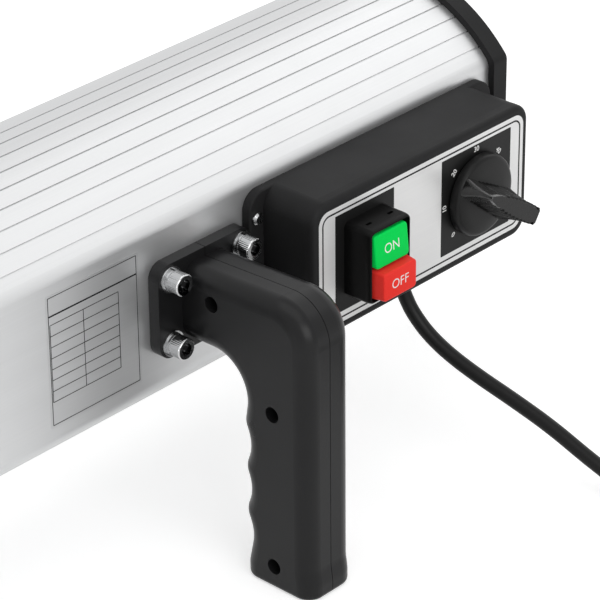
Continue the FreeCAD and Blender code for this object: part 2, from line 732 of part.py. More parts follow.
def grip_corners(inset):
    """Corners of the handle's side view, drawn in by an inset; the ridges show only on the outside."""
    rise = math.tan(math.radians(ARM_RISE_DEG))
    rear = GRIP_REAR + inset
    foot = GRIP_FOOT + inset
    start = -inset
    top_start = ARM_TOP - inset - start * rise
    top_end = ARM_TOP - inset - rear * rise
    low = ARM_BOTTOM + inset
    crest = GRIP_FRONT + RIDGE_SWING / 2
    valley = GRIP_FRONT - RIDGE_SWING / 2
    corners = [(start, top_start, 0), (rear, top_end, OUTER_BEND - inset)]
    if inset:
        corners += [(rear, foot, 0), (valley - inset, foot, 0), (valley - inset, low, INNER_BEND + inset)]
        return corners + [(start, low, 0)]
    flare_top = foot + FOOT_FLARE_HEIGHT
    corners.append((rear, flare_top + FOOT_FLARE_HEIGHT, VALLEY_ROUND))
    corners.append((rear - FOOT_FLARE, flare_top, VALLEY_ROUND))
    corners += [(rear - FOOT_FLARE, foot, 0), (GRIP_FRONT + FOOT_FLARE, foot, 0)]
    corners.append((GRIP_FRONT + FOOT_FLARE, flare_top, RIDGE_ROUND))
    for i in reversed(range(RIDGE_COUNT)):
        ridge = ARM_BOTTOM - RIDGE_FIRST_DROP - i * RIDGE_PITCH
        corners.append((valley, ridge - RIDGE_PITCH / 2, VALLEY_ROUND))
        corners.append((crest, ridge, RIDGE_ROUND))
    return corners + [(valley, low, INNER_BEND), (start, low, 0)]


def side_chain(shape, half, foot):
    """The edges of a side-view block's two flat sides, without its foot and its plate end."""
    found = []
    for edge in shape.Edges:
        bounds = edge.BoundBox
        on_side = abs(abs(bounds.XMin) - half) < ON_PLANE and bounds.XLength < ON_PLANE
        at_foot = bounds.ZMax < foot + ON_PLANE
        at_plate = bounds.YMin > -HANDLE_WALL - ON_PLANE and bounds.ZLength > bounds.YLength
        if on_side and not at_foot and not at_plate:
            found.append(edge)
    return found


def grip_solid(inset):
    """The handle's rounded body, or its hollow where it is drawn in."""
    half = HANDLE_WIDTH / 2 - inset
    face = Part.Face(rounded_outline(grip_corners(inset)))
    body = face.translated(X_AXIS * -half).extrude(X_AXIS * (2 * half))
    body = body.makeFillet(HANDLE_SIDE_ROUND - inset, side_chain(body, half, GRIP_FOOT + inset))
    if inset == 0:
        body = body.makeFillet(FOOT_ROUND, edges_on_plane(body, 2, GRIP_FOOT))
    return body


def mount_places(y):
    """Centres of the four mounting screws at a depth."""
    x = MOUNT_SPACING_X / 2
    z = MOUNT_SPACING_Z / 2
    return [Vector(sx * x, y, sz * z) for sx in (-1, 1) for sz in (-1, 1)]


def handle_whole():
    """The handle before it is parted: plate, arm and grip, hollow behind the plate."""
    x = PLATE_WIDTH / 2
    z = PLATE_HEIGHT / 2
    plate = rounded_block(-x, x, -PLATE_THICKNESS, 0, -z, z, PLATE_CORNER)
    hollow = grip_solid(HANDLE_WALL)
    shut = box(-PLATE_WIDTH, PLATE_WIDTH, -PLATE_THICKNESS - HANDLE_WALL, 0, -PLATE_HEIGHT, PLATE_HEIGHT)
    handle = plate.fuse(grip_solid(0)).removeSplitter().cut(hollow.cut(shut))
    through = Y_AXIS * -PLATE_THICKNESS
    holes = [rod(MOUNT_SCREW_RADIUS + HOLE_GAP, seat, seat + through) for seat in mount_places(0)]
    return handle.cut(holes)


def handle_shell(whole, side):
    """One half of the handle with its screw bosses; the heads sink into the left half."""
    limit = PLATE_WIDTH
    seam = side * SEAM_GAP / 2
    low, high = (seam, limit) if side > 0 else (-limit, seam)
    half = box(low, high, GRIP_REAR - limit, limit, GRIP_FOOT - limit, ARM_TOP + limit)
    shell = whole.common(half)
    wall = HANDLE_WIDTH / 2 - HANDLE_WALL / 2
    bosses = []
    holes = []
    for y, z in SHELL_SCREW_PLACES:
        bosses.append(rod(SHELL_BOSS_RADIUS, Vector(seam, y, z), Vector(side * wall, y, z)))
        if side > 0:
            tip = Vector(SHELL_SCREW_REACH + FIT_GAP, y, z)
            holes.append(rod(SHELL_SCREW_RADIUS + THREAD_GAP, Vector(seam, y, z), tip))
        else:
            seat = Vector(-SHELL_HEAD_SEAT, y, z)
            holes.append(rod(SHELL_SCREW_RADIUS + HOLE_GAP, Vector(seam, y, z), seat))
            holes.append(rod(SHELL_HEAD_RADIUS + HOLE_GAP, seat, Vector(-HANDLE_WIDTH / 2, y, z)))
    return shell.fuse(bosses).removeSplitter().cut(holes)


def handle_shell_screws():
    """Pan-head screws that draw the two halves together."""
    length = SHELL_HEAD_SEAT + SHELL_SCREW_REACH
    outward = X_AXIS * -1
    screws = []
    for y, z in SHELL_SCREW_PLACES:
        seat = Vector(-SHELL_HEAD_SEAT, y, z)
        screw = pan_screw(SHELL_HEAD_RADIUS, SHELL_HEAD_HEIGHT, SHELL_SCREW_RADIUS, length, seat, outward)
        screws.append(screw)
    return Part.makeCompound(screws)


def handle_flat_washers():
    """Flat washers on the handle's plate."""
    rings = []
    for seat in mount_places(-PLATE_THICKNESS):
        end = seat - Y_AXIS * WASHER_THICKNESS
        rings.append(rod(WASHER_RADIUS, seat, end).cut(rod(MOUNT_SCREW_RADIUS + HOLE_GAP, seat, end)))
    return Part.makeCompound(rings)


def handle_spring_washers():
    """Split spring washers on the flat ones."""
    rings = []
    for seat in mount_places(-PLATE_THICKNESS - WASHER_THICKNESS):
        end = seat - Y_AXIS * SPRING_WASHER_THICKNESS
        ring = rod(SPRING_WASHER_RADIUS, seat, end).cut(rod(MOUNT_SCREW_RADIUS + HOLE_GAP, seat, end))
        half = SPRING_WASHER_SPLIT / 2
        split = box(seat.x - half, seat.x + half, end.y, seat.y, seat.z, seat.z + SPRING_WASHER_RADIUS)
        rings.append(ring.cut(split))
    return Part.makeCompound(rings)


def handle_mount_screws():
    """Socket-head cap screws that hold the handle to the nut plate."""
    under = -PLATE_THICKNESS - WASHER_THICKNESS - SPRING_WASHER_THICKNESS
    socket_radius = MOUNT_SOCKET_FLATS / math.sqrt(3)
    screws = []
    for seat in mount_places(under):
        tip = Vector(seat.x, HOUSING_WALL + NUT_PLATE_THICKNESS, seat.z)
        top = seat - Y_AXIS * MOUNT_HEAD_HEIGHT
        head = rod(MOUNT_HEAD_RADIUS, seat, top)
        head = head.makeChamfer(MOUNT_HEAD_CHAMFER, edges_on_plane(head, 1, top.y))
        socket = Part.Face(hexagon(top, socket_radius)).extrude(Y_AXIS * MOUNT_SOCKET_DEPTH)
        screws.append(head.cut(socket).fuse(rod(MOUNT_SCREW_RADIUS, seat, tip)).removeSplitter())
    return Part.makeCompound(screws)


def hexagon(centre, radius):
    """A six-sided wire across Y."""
    corners = []
    for i in range(6):
        angle = math.radians(60 * i)
        corners.append(centre + X_AXIS * (radius * math.cos(angle)) + Z_AXIS * (radius * math.sin(angle)))
    return Part.makePolygon(corners + corners[:1])


def handle_nut_plate():
    """The tapped steel plate behind the housing's back wall."""
    x = MOUNT_SPACING_X / 2 + NUT_PLATE_MARGIN
    z = MOUNT_SPACING_Z / 2 + NUT_PLATE_MARGIN
    back = HOUSING_WALL + NUT_PLATE_THICKNESS
    plate = rounded_block(-x, x, HOUSING_WALL, back, -z, z, NUT_PLATE_MARGIN)
    holes = []
    for seat in mount_places(HOUSING_WALL):
        holes.append(rod(MOUNT_SCREW_RADIUS + THREAD_GAP, seat, seat + Y_AXIS * NUT_PLATE_THICKNESS))
    return plate.cut(holes)


# Control box

def ear_screw_places(y):
    """Centres of the four screws that hold the control box, at a depth."""
    left = EAR_LEFT + EAR_SCREW_INSET_X
    right = EAR_RIGHT - EAR_SCREW_INSET_X
    low = BOX_BOTTOM + EAR_SCREW_INSET_Z
    high = BOX_TOP - EAR_SCREW_INSET_Z
    return [Vector(x, y, z) for x in (left, right) for z in (low, high)]


def gland_axis():
    """Where the cord's gland crosses the underside of the box."""
    return Vector(BOX_MID_X + GLAND_SHIFT, CORD_EXIT_Y, BOX_BOTTOM)


def control_box_shell():
    """The open-backed box with an ear at each end."""
    body = rounded_block(BODY_LEFT, BODY_RIGHT, -BOX_DEPTH, 0, BOX_BOTTOM, BOX_TOP, BOX_CORNER)
    body = body.makeFillet(BOX_FRONT_ROUND, edges_on_plane(body, 1, -BOX_DEPTH))
    ears = rounded_block(EAR_LEFT, EAR_RIGHT, -EAR_THICKNESS, 0, BOX_BOTTOM, BOX_TOP, BOX_CORNER)
    ears = ears.makeFillet(EAR_ROUND, edges_on_plane(ears, 1, -EAR_THICKNESS))
    shell = body.fuse(ears).removeSplitter()
    shell = shell.cut(
        rounded_block(
            BODY_LEFT + BOX_WALL, BODY_RIGHT - BOX_WALL, -BOX_DEPTH + BOX_WALL, 0,
            BOX_BOTTOM + BOX_WALL, BOX_TOP - BOX_WALL, BOX_CORNER - BOX_WALL
        )
    )
    holes = [switch_opening(), timer_opening()]
    for seat in ear_screw_places(0):
        holes.append(rod(EAR_SCREW_RADIUS + HOLE_GAP, seat, seat - Y_AXIS * EAR_THICKNESS))
    outlet = gland_axis()
    holes.append(rod(GLAND_NECK_RADIUS, outlet, outlet + Z_AXIS * BOX_WALL))
    return shell.cut(holes)


def switch_opening():
    """The hole for the switch block through the front wall and the panel."""
    x = SWITCH_BLOCK_WIDTH / 2 + FIT_GAP
    z = SWITCH_BLOCK_HEIGHT / 2 + FIT_GAP
    return switch_box(x, z, PANEL_FRONT, FRONT_WALL_BACK)


def switch_box(half_x, half_z, y0, y1):
    """A block centred on the switch, between two depths."""
    return box(SWITCH_X - half_x, SWITCH_X + half_x, y0, y1, SWITCH_Z - half_z, SWITCH_Z + half_z)


def timer_opening():
    """The hole for the timer's bush through the front wall and the panel."""
    return timer_rod(BUSH_RADIUS + FIT_GAP, PANEL_FRONT, FRONT_WALL_BACK)


def timer_rod(radius, y0, y1):
    """A round bar on the timer's axis, between two depths."""
    return rod(radius, Vector(TIMER_X, y0, TIMER_Z), Vector(TIMER_X, y1, TIMER_Z))


def control_box_screws():
    """Slotted pan-head screws through the ears into the back wall."""
    outward = Y_AXIS * -1
    length = EAR_THICKNESS + HOUSING_WALL
    screws = []
    for seat in ear_screw_places(-EAR_THICKNESS):
        screw = pan_screw(EAR_HEAD_RADIUS, EAR_HEAD_HEIGHT, EAR_SCREW_RADIUS, length, seat, outward)
        top = seat.y - EAR_HEAD_HEIGHT
        half = SLOT_WIDTH / 2
        reach = EAR_HEAD_RADIUS
        slot = box(seat.x - half, seat.x + half, top, top + SLOT_DEPTH, seat.z - reach, seat.z + reach)
        screws.append(screw.cut(slot))
    return Part.makeCompound(screws)


def panel_plate():
    """The thin front panel with its openings."""
    low = BOX_BOTTOM + PANEL_INSET_Z
    high = BOX_TOP - PANEL_INSET_Z
    plate = rounded_block(PANEL_LEFT, PANEL_RIGHT, PANEL_FRONT, -BOX_DEPTH, low, high, PANEL_CORNER)
    return plate.cut([switch_opening(), timer_opening()])


def switch_body():
    """The switch's collar with its well for the buttons, and the contact block behind the panel."""
    x = SWITCH_WIDTH / 2
    z = SWITCH_HEIGHT / 2
    collar = switch_box(x, z, SWITCH_FRONT, PANEL_FRONT)
    collar = collar.makeFillet(SWITCH_EDGE_ROUND, straight_edges(collar, Y_AXIS))
    collar = collar.makeFillet(SWITCH_RIM / 2, edges_on_plane(collar, 1, SWITCH_FRONT))
    well_x = x - SWITCH_RIM
    well_z = z - SWITCH_RIM
    well = switch_box(well_x, well_z, SWITCH_FRONT, SWITCH_SEAT)
    rear = PANEL_FRONT + SWITCH_BLOCK_DEPTH
    block = switch_box(SWITCH_BLOCK_WIDTH / 2, SWITCH_BLOCK_HEIGHT / 2, PANEL_FRONT, rear)
    top = SWITCH_Z + z
    marks = []
    for side in (1, -1):
        mark_x = SWITCH_X + side * MARK_SPACING / 2
        mark = box(-MARK_LENGTH / 2, MARK_LENGTH / 2, -MARK_WIDTH / 2, MARK_WIDTH / 2, -MARK_DEPTH, 0)
        marks.append(mark.translated(Vector(mark_x, PANEL_FRONT - MARK_PROUD, top)))
    return collar.cut([well] + marks).fuse(block).removeSplitter()


def button_span(upper):
    """Lowest and highest edge of one button in the well."""
    reach = SWITCH_HEIGHT / 2 - SWITCH_RIM - BUTTON_GAP
    if upper:
        return BUTTON_SPLIT + BUTTON_GAP / 2, SWITCH_Z + reach
    return SWITCH_Z - reach, BUTTON_SPLIT - BUTTON_GAP / 2


def button_block(upper, proud):
    """A plain button standing out of the well."""
    half = SWITCH_WIDTH / 2 - SWITCH_RIM - BUTTON_GAP
    low, high = button_span(upper)
    return box(SWITCH_X - half, SWITCH_X + half, SWITCH_FRONT - proud, BUTTON_BACK, low, high)


def on_button():
    """The upper button, its face sloping out towards its lower edge."""
    low, high = button_span(True)
    block = button_block(True, ON_PROUD + ON_TILT)
    reach = SWITCH_WIDTH
    corners = [
        Vector(SWITCH_X - reach, SWITCH_FRONT - ON_PROUD - ON_TILT, low),
        Vector(SWITCH_X - reach, SWITCH_FRONT - ON_PROUD, high),
        Vector(SWITCH_X - reach, SWITCH_FRONT - ON_PROUD - ON_TILT, high),
    ]
    wedge = Part.Face(Part.makePolygon(corners + corners[:1])).extrude(X_AXIS * (2 * reach))
    block = block.cut(wedge)
    return block.makeFillet(BUTTON_ROUND, straight_edges(block, Y_AXIS))


def off_button():
    """The lower button, which stands further out and has a bevelled face."""
    block = button_block(False, OFF_PROUD)
    return block.makeChamfer(OFF_CHAMFER, edges_on_plane(block, 1, SWITCH_FRONT - OFF_PROUD))


def button_spring(upper):
    """The return spring between a button and the floor of the well."""
    low, high = button_span(upper)
    middle = (low + high) / 2
    first = SWITCH_SEAT - SPRING_WIRE / 2 - SPRING_SEAT
    last = BUTTON_BACK + SPRING_WIRE / 2 + SPRING_SEAT

    def place(turn):
        angle = 2 * math.pi * turn
        y = first + (last - first) * turn / SPRING_TURNS
        spoke = X_AXIS * math.cos(angle) + Z_AXIS * math.sin(angle)
        return Vector(SWITCH_X, y, middle) + spoke * SPRING_RADIUS

    return tube_along(wound_path(place, SPRING_TURNS, 2), SPRING_WIRE / 2)


def timer_body():
    """The timer's case behind the front wall, with its threaded bush."""
    half = TIMER_SIDE / 2
    rear = FRONT_WALL_BACK + TIMER_DEPTH
    case = box(TIMER_X - half, TIMER_X + half, FRONT_WALL_BACK, rear, TIMER_Z - half, TIMER_Z + half)
    case = case.makeFillet(TIMER_EDGE_ROUND, straight_edges(case, Y_AXIS))
    bush_end = PANEL_FRONT - BUSH_PROUD
    bore_end = FRONT_WALL_BACK + SHAFT_INSIDE + FIT_GAP
    bush = timer_rod(BUSH_RADIUS, FRONT_WALL_BACK, bush_end)
    bore = timer_rod(SHAFT_RADIUS + RUNNING_GAP, bush_end, bore_end)
    return case.fuse(bush).removeSplitter().cut(bore)


def timer_nut():
    """The flat nut that clamps the timer to the panel."""
    seat = Vector(TIMER_X, PANEL_FRONT, TIMER_Z)
    nut = Part.Face(hexagon(seat, NUT_FLATS / math.sqrt(3))).extrude(Y_AXIS * -NUT_THICKNESS)
    return nut.cut(rod(BUSH_RADIUS + THREAD_GAP, seat, seat - Y_AXIS * NUT_THICKNESS))


def timer_shaft():
    """The turning shaft of the timer."""
    return timer_rod(SHAFT_RADIUS, FRONT_WALL_BACK + SHAFT_INSIDE, PANEL_FRONT - SHAFT_PROUD)


def timer_knob():
    """Round skirt with a fluted, tapered blade across it, turned to its pointer's place."""
    outward = Y_AXIS * -1
    base = Vector(0, KNOB_BASE, 0)
    top_radius = KNOB_RADIUS - KNOB_SKIRT_TAPER
    rim = KNOB_SKIRT - KNOB_SKIRT_ROUND
    flat = top_radius - KNOB_SKIRT_ROUND
    profile = [(0, 0), (KNOB_RADIUS, 0), (top_radius, rim), (flat, KNOB_SKIRT), (0, KNOB_SKIRT)]
    skirt = turned(profile, base, outward, X_AXIS)
    hub_foot = BUSH_PROUD + KNOB_HUB_CLEAR - KNOB_LIFT
    room = rod(KNOB_CAVITY_RADIUS, base, base + outward * KNOB_CAVITY_DEPTH)
    hub = rod(KNOB_HUB_RADIUS, base + outward * hub_foot, base + outward * KNOB_CAVITY_DEPTH)
    knob = skirt.cut(room).fuse([hub, knob_blade()])
    bore_end = PANEL_FRONT - SHAFT_PROUD - KNOB_SHAFT_END_GAP
    knob = knob.cut(rod(SHAFT_RADIUS + KNOB_SHAFT_GAP, base, Vector(0, bore_end, 0)))
    knob.rotate(Vector(0, 0, 0), outward, KNOB_POINTER_DEG)
    return knob.translated(Vector(TIMER_X, 0, TIMER_Z))


def knob_blade():
    """The blade: a ruled loft from a wide foot to a narrow crest, with flutes down its sides."""
    foot_y = KNOB_TOP + BLADE_SINK
    crest_y = KNOB_TOP - BLADE_HEIGHT
    foot = (foot_y, BLADE_BASE_HALF, BLADE_BASE_WIDTH)
    crest = (crest_y, BLADE_CREST_HALF, BLADE_CREST_WIDTH)
    sections = []
    for y, half, width in (foot, crest):
        corners = [Vector(sx * half, y, sz * width / 2) for sx, sz in ((-1, -1), (1, -1), (1, 1), (-1, 1))]
        sections.append(Part.makePolygon(corners + corners[:1]))
    blade = Part.makeLoft(sections, True, True)
    flutes = []
    for i in range(FLUTE_COUNT):
        x = (i - (FLUTE_COUNT - 1) / 2) * FLUTE_STEP
        for side in (1, -1):
            low = Vector(x, foot_y, side * BLADE_BASE_WIDTH / 2)
            high = Vector(x, crest_y, side * BLADE_CREST_WIDTH / 2)
            flutes.append(rod(FLUTE_RADIUS, low, high))
    half_notch = POINTER_NOTCH / 2
    notch_root = BLADE_CREST_HALF - POINTER_NOTCH
    notch = box(notch_root, BLADE_BASE_HALF, crest_y, foot_y, -half_notch, half_notch)
    return blade.cut(flutes + [notch])


# Wiring pieces

def wire_grommet():
    """The rubber grommet where the lamp's leads pass through the back wall."""
    neck = GROMMET_HOLE_RADIUS - THREAD_GAP
    flange = GROMMET_HOLE_RADIUS + GROMMET_FLANGE
    far = HOUSING_WALL + GROMMET_LIP
    profile = [
        (GROMMET_BORE, -GROMMET_LIP), (flange, -GROMMET_LIP), (flange, 0), (neck, 0),
        (neck, HOUSING_WALL), (flange, HOUSING_WALL), (flange, far), (GROMMET_BORE, far)
    ]
    return turned(profile, GROMMET_SEAT, Y_AXIS, X_AXIS)


def terminal_block():
    """The screw terminals on the back wall inside the box."""
    half = TERMINAL_LENGTH / 2
    low = TERMINAL_TOP - TERMINAL_HEIGHT
    block = box(BOX_MID_X - half, BOX_MID_X + half, -TERMINAL_DEPTH, 0, low, low + TERMINAL_HEIGHT)
    pitch = TERMINAL_LENGTH / TERMINAL_WAYS
    holes = []
    for i in range(TERMINAL_WAYS):
        x = BOX_MID_X + (i - (TERMINAL_WAYS - 1) / 2) * pitch
        middle = Vector(x, -TERMINAL_DEPTH / 2, low)
        holes.append(rod(TERMINAL_SCREW_RADIUS, middle, middle + Z_AXIS * TERMINAL_HEIGHT))
        face = Vector(x, -TERMINAL_DEPTH, low + TERMINAL_HEIGHT / 2)
        holes.append(rod(TERMINAL_SCREW_RADIUS, face, face + Y_AXIS * (TERMINAL_DEPTH / 2)))
    return block.cut(holes)


# Cord, gland and plug

def lean_direction():
    """The way the cord points as it leaves the gland."""
    lean = math.radians(GLAND_LEAN_DEG)
    return HEADING * math.sin(lean) - Z_AXIS * math.cos(lean)


def cord_start():
    """Where the cord leaves the tip of the gland."""
    return gland_axis() - Z_AXIS * GLAND_FLANGE + lean_direction() * GLAND_BOOT_LENGTH


def cord_gland():
    """The snap-in strain relief: inner collar, neck, flange and a boot that leans with the cord."""
    seat = gland_axis()
    neck = GLAND_NECK_RADIUS - GLAND_NECK_GAP
    collar_top = BOX_WALL + GLAND_COLLAR
    profile = [
        (0, -GLAND_FLANGE), (GLAND_FLANGE_RADIUS, -GLAND_FLANGE), (GLAND_FLANGE_RADIUS, 0), (neck, 0),
        (neck, BOX_WALL), (GLAND_FLANGE_RADIUS, BOX_WALL), (neck, collar_top),
        (GLAND_TIP_RADIUS, collar_top + GLAND_TAIL), (0, collar_top + GLAND_TAIL)
    ]
    gland = turned(profile, seat, Z_AXIS, X_AXIS)
    lean = lean_direction()
    root = seat - Z_AXIS * GLAND_FLANGE - lean * GLAND_FLANGE
    length = GLAND_BOOT_LENGTH + GLAND_FLANGE
    boot = Part.makeCone(GLAND_BOOT_RADIUS, GLAND_TIP_RADIUS, length, root, lean)
    above = rod(2 * GLAND_FLANGE_RADIUS, seat, seat + Z_AXIS * length)
    return gland.fuse(boot.cut(above)).removeSplitter()


def cord_route():
    """The free cord's corner points from the gland to the coil."""
    base = gland_axis()
    points = [cord_start(), cord_start() + lean_direction() * CORD_FIRST_RUN]
    for reach, height in CORD_POINTS:
        points.append(Vector(base.x + HEADING.x * reach, base.y + HEADING.y * reach, height))
    return points


def power_cord():
    """The free stretch: straight runs joined by arcs as large as the runs allow."""
    points = cord_route()
    edges = []
    here = points[0]
    radii = []
    for i in range(1, len(points) - 1):
        back = points[i - 1] - points[i]
        on = points[i + 1] - points[i]
        turn = math.pi - back.getAngle(on)
        radius = CORD_ARC_SHARE * min(back.Length, on.Length) / math.tan(turn / 2)
        start, middle, end = rounded_corner(points[i - 1], points[i], points[i + 1], radius)
        edges += [Part.LineSegment(here, start).toShape(), Part.Arc(start, middle, end).toShape()]
        here = end
        radii.append(round(radius, 1))
    edges.append(Part.LineSegment(here, points[-1]).toShape())
    cord = tube_along(edges, CORD_RADIUS)
    length = sum(edge.Length for edge in edges)
    print("cord radii", radii)
    print("cord length", round(length, 1), "volume share", volume_share(cord, length))
    return cord


def volume_share(tube, length):
    """A tube's volume against the cord's section times its length."""
    return round(tube.Volume / (math.pi * CORD_RADIUS ** 2 * length), 4)


def coil_frame():
    """The point where the coil starts, its middle and the way it sets off."""
    points = cord_route()
    along = (points[-1] - points[-2]).normalize()
    start = points[-1] + along * COIL_LEAD
    return start, start + Z_AXIS.cross(along) * COIL_OUTER, along


def coil_section():
    """The least and greatest radius, the lowest and highest edge of the bundle about its middle."""
    grow = CORD_RADIUS + COIL_SLACK
    return COIL_INNER - grow, COIL_OUTER + grow, -grow, COIL_LAYER + grow


def cord_coil():
    """The put-away length: a plain ring the size of two layers of turns, with straight ends."""
    start, centre, along = coil_frame()
    inner, outer, bottom, top = coil_section()
    foot = centre + Z_AXIS * bottom
    head = centre + Z_AXIS * top
    ring = rod(outer, foot, head).cut(rod(inner, foot, head))
    rims = edges_on_plane(ring, 2, foot.z) + edges_on_plane(ring, 2, head.z)
    ring = ring.makeFillet(CORD_RADIUS + COIL_SLACK, rims)
    lead = rod(CORD_RADIUS, start - along * COIL_LEAD, start)
    tail = rod(CORD_RADIUS, start + Z_AXIS * COIL_LAYER, plug_place()[0])
    return ring.fuse([lead, tail])


def coil_tie():
    """The strap round the bundle of turns."""
    centre = coil_frame()[1]
    inner, high, bottom, top = coil_section()
    low = math.sqrt(inner ** 2 - (TIE_WIDTH / 2) ** 2)
    rim = TIE_THICKNESS
    strap = box(low - rim, high + rim, -TIE_WIDTH / 2, TIE_WIDTH / 2, bottom - rim, top + rim)
    strap = strap.makeFillet(CORD_RADIUS, straight_edges(strap, Y_AXIS))
    room = box(low, high, -TIE_WIDTH / 2, TIE_WIDTH / 2, bottom, top)
    room = room.makeFillet(CORD_RADIUS - rim, straight_edges(room, Y_AXIS))
    strap = strap.cut(room)
    strap.rotate(Vector(0, 0, 0), Z_AXIS, TIE_DEG)
    return strap.translated(centre)


def plug_place():
    """Where the cord enters the plug, and the way it points."""
    start, _, along = coil_frame()
    return start + Z_AXIS * COIL_LAYER + along * COIL_TAIL, along


def mains_plug():
    """A right-angled plug lying on its back: round body and a tapered boot."""
    tip, ahead = plug_place()
    floor = GRIP_FOOT
    middle = tip + ahead * (PLUG_BOOT_LENGTH + PLUG_RADIUS)
    foot = Vector(middle.x, middle.y, floor)
    body = rod(PLUG_RADIUS, foot, foot + Z_AXIS * PLUG_HEIGHT)
    rims = edges_on_plane(body, 2, floor) + edges_on_plane(body, 2, floor + PLUG_HEIGHT)
    body = body.makeFillet(PLUG_ROUND, rims)
    boot = Part.makeCone(PLUG_BOOT_TIP, PLUG_BOOT_RADIUS, PLUG_BOOT_LENGTH + PLUG_RADIUS, tip, ahead)
    return body.fuse(boot).removeSplitter()


def plug_pins():
    """The plug's two round pins."""
    tip, ahead = plug_place()
    middle = tip + ahead * (PLUG_BOOT_LENGTH + PLUG_RADIUS)
    across = Z_AXIS.cross(ahead).normalize()
    pins = []
    for side in (1, -1):
        foot = Vector(middle.x, middle.y, GRIP_FOOT + PLUG_HEIGHT) + across * (side * PIN_SPACING / 2)
        pin = rod(PIN_RADIUS, foot, foot + Z_AXIS * PIN_LENGTH)
        pins.append(pin.makeFillet(PIN_TIP_ROUND, edges_on_plane(pin, 2, foot.z + PIN_LENGTH)))
    return Part.makeCompound(pins)


def build():
    """Every piece by its name."""
    whole = handle_whole()
    cap = end_cap()
    plate = lamp_end_plate()
    base = lamp_base()
    return {
        "housing_extrusion": housing_extrusion(),
        "right_end_cap": cap,
        "left_end_cap": mirrored(cap),
        "end_cap_screws": end_cap_screws(),
        "reflector": reflector(),
        "lamp_end_plates": Part.makeCompound([plate, mirrored(plate)]),
        "quartz_tube": quartz_tube(),
        "lamp_filament": lamp_filament(),
        "lamp_bases": Part.makeCompound([base, mirrored(base)]),
        "front_guard": front_guard(),
        "handle_left_shell": handle_shell(whole, -1),
        "handle_right_shell": handle_shell(whole, 1),
        "handle_shell_screws": handle_shell_screws(),
        "handle_flat_washers": handle_flat_washers(),
        "handle_spring_washers": handle_spring_washers(),
        "handle_mount_screws": handle_mount_screws(),
        "handle_nut_plate": handle_nut_plate(),
        "control_box_shell": control_box_shell(),
        "control_box_screws": control_box_screws(),
        "panel_plate": panel_plate(),
        "switch_body": switch_body(),
        "on_button": on_button(),
        "off_button": off_button(),
        "on_spring": button_spring(True),
        "off_spring": button_spring(False),
        "timer_body": timer_body(),
        "timer_nut": timer_nut(),
        "timer_shaft": timer_shaft(),
        "timer_knob": timer_knob(),
        "wire_grommet": wire_grommet(),
        "terminal_block": terminal_block(),
        "cord_gland": cord_gland(),
        "power_cord": power_cord(),
        "cord_coil": cord_coil(),
        "coil_tie": coil_tie(),
        "mains_plug": mains_plug(),
        "plug_pins": plug_pins(),
    }


os.makedirs("parts", exist_ok=True)
for name, shape in build().items():
    shape.translated(GRIP_MIDDLE * -1).exportStep("parts/" + name + ".step")
    state = "valid" if shape.isValid() else "NOT VALID"
    print(name, len(shape.Solids), "solids", round(shape.Volume / 1000, 2), "cm3", state)
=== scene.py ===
"""A hand-held infrared paint dryer, dressed and lit for a studio picture.

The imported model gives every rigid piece. This script adds the mains lead, rounded caps for the push
buttons, the timer's knob, the switch's collar and a bezel, the print on the control panel, the lettering,
a blank rating label and the finishes, and sets the stage. Lengths are in metres.
"""

import math

import bmesh
import bpy
import numpy as np
from bpy.props import FloatProperty, FloatVectorProperty, IntProperty, PointerProperty
from mathutils import Matrix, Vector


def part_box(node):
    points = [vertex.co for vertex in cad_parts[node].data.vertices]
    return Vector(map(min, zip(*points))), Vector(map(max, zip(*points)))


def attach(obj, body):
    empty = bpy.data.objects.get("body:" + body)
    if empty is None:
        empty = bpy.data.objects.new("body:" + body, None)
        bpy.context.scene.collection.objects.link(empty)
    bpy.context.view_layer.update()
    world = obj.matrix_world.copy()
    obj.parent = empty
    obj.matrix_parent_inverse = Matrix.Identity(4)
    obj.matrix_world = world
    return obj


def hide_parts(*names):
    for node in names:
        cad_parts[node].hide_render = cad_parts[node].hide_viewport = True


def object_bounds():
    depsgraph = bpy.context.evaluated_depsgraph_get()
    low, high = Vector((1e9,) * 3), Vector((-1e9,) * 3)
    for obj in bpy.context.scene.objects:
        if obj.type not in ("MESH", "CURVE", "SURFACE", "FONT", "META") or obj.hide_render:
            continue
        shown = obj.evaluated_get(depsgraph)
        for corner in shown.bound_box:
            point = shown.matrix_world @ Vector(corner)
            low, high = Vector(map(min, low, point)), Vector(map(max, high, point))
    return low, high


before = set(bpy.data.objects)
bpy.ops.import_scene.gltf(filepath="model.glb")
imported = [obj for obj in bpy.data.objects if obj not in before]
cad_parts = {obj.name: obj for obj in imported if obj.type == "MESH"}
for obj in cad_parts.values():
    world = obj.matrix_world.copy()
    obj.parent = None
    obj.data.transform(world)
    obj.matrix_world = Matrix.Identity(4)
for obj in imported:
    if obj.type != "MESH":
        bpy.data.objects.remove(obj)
CAD_BOX = [[float(value) for value in corner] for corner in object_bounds()]

bl_info = {
    "name": "Paint Dryer Dressing",
    "version": (1, 0, 0),
    "blender": (4, 5, 0),
    "location": "View3D > Sidebar > Dryer",
    "description": "Dresses a hand-held infrared paint dryer with its lead, controls, print and finishes",
    "category": "Object",
}

MM = 0.001
DRYER = "dryer"

# Steps of a rounded corner, of the caps' edges, of the collar's and the bezel's edges, and of the lead
CORNER_STEPS = 8
CAP_STEPS = 5
EDGE_STEPS = 7
LEAD_STEPS = 6

# Faces that meet at more than this angle keep their edge,
# and points of a word that are closer than this share of its size become one
SHARP_ANGLE = math.radians(32)
MERGE_SHARE = 0.001

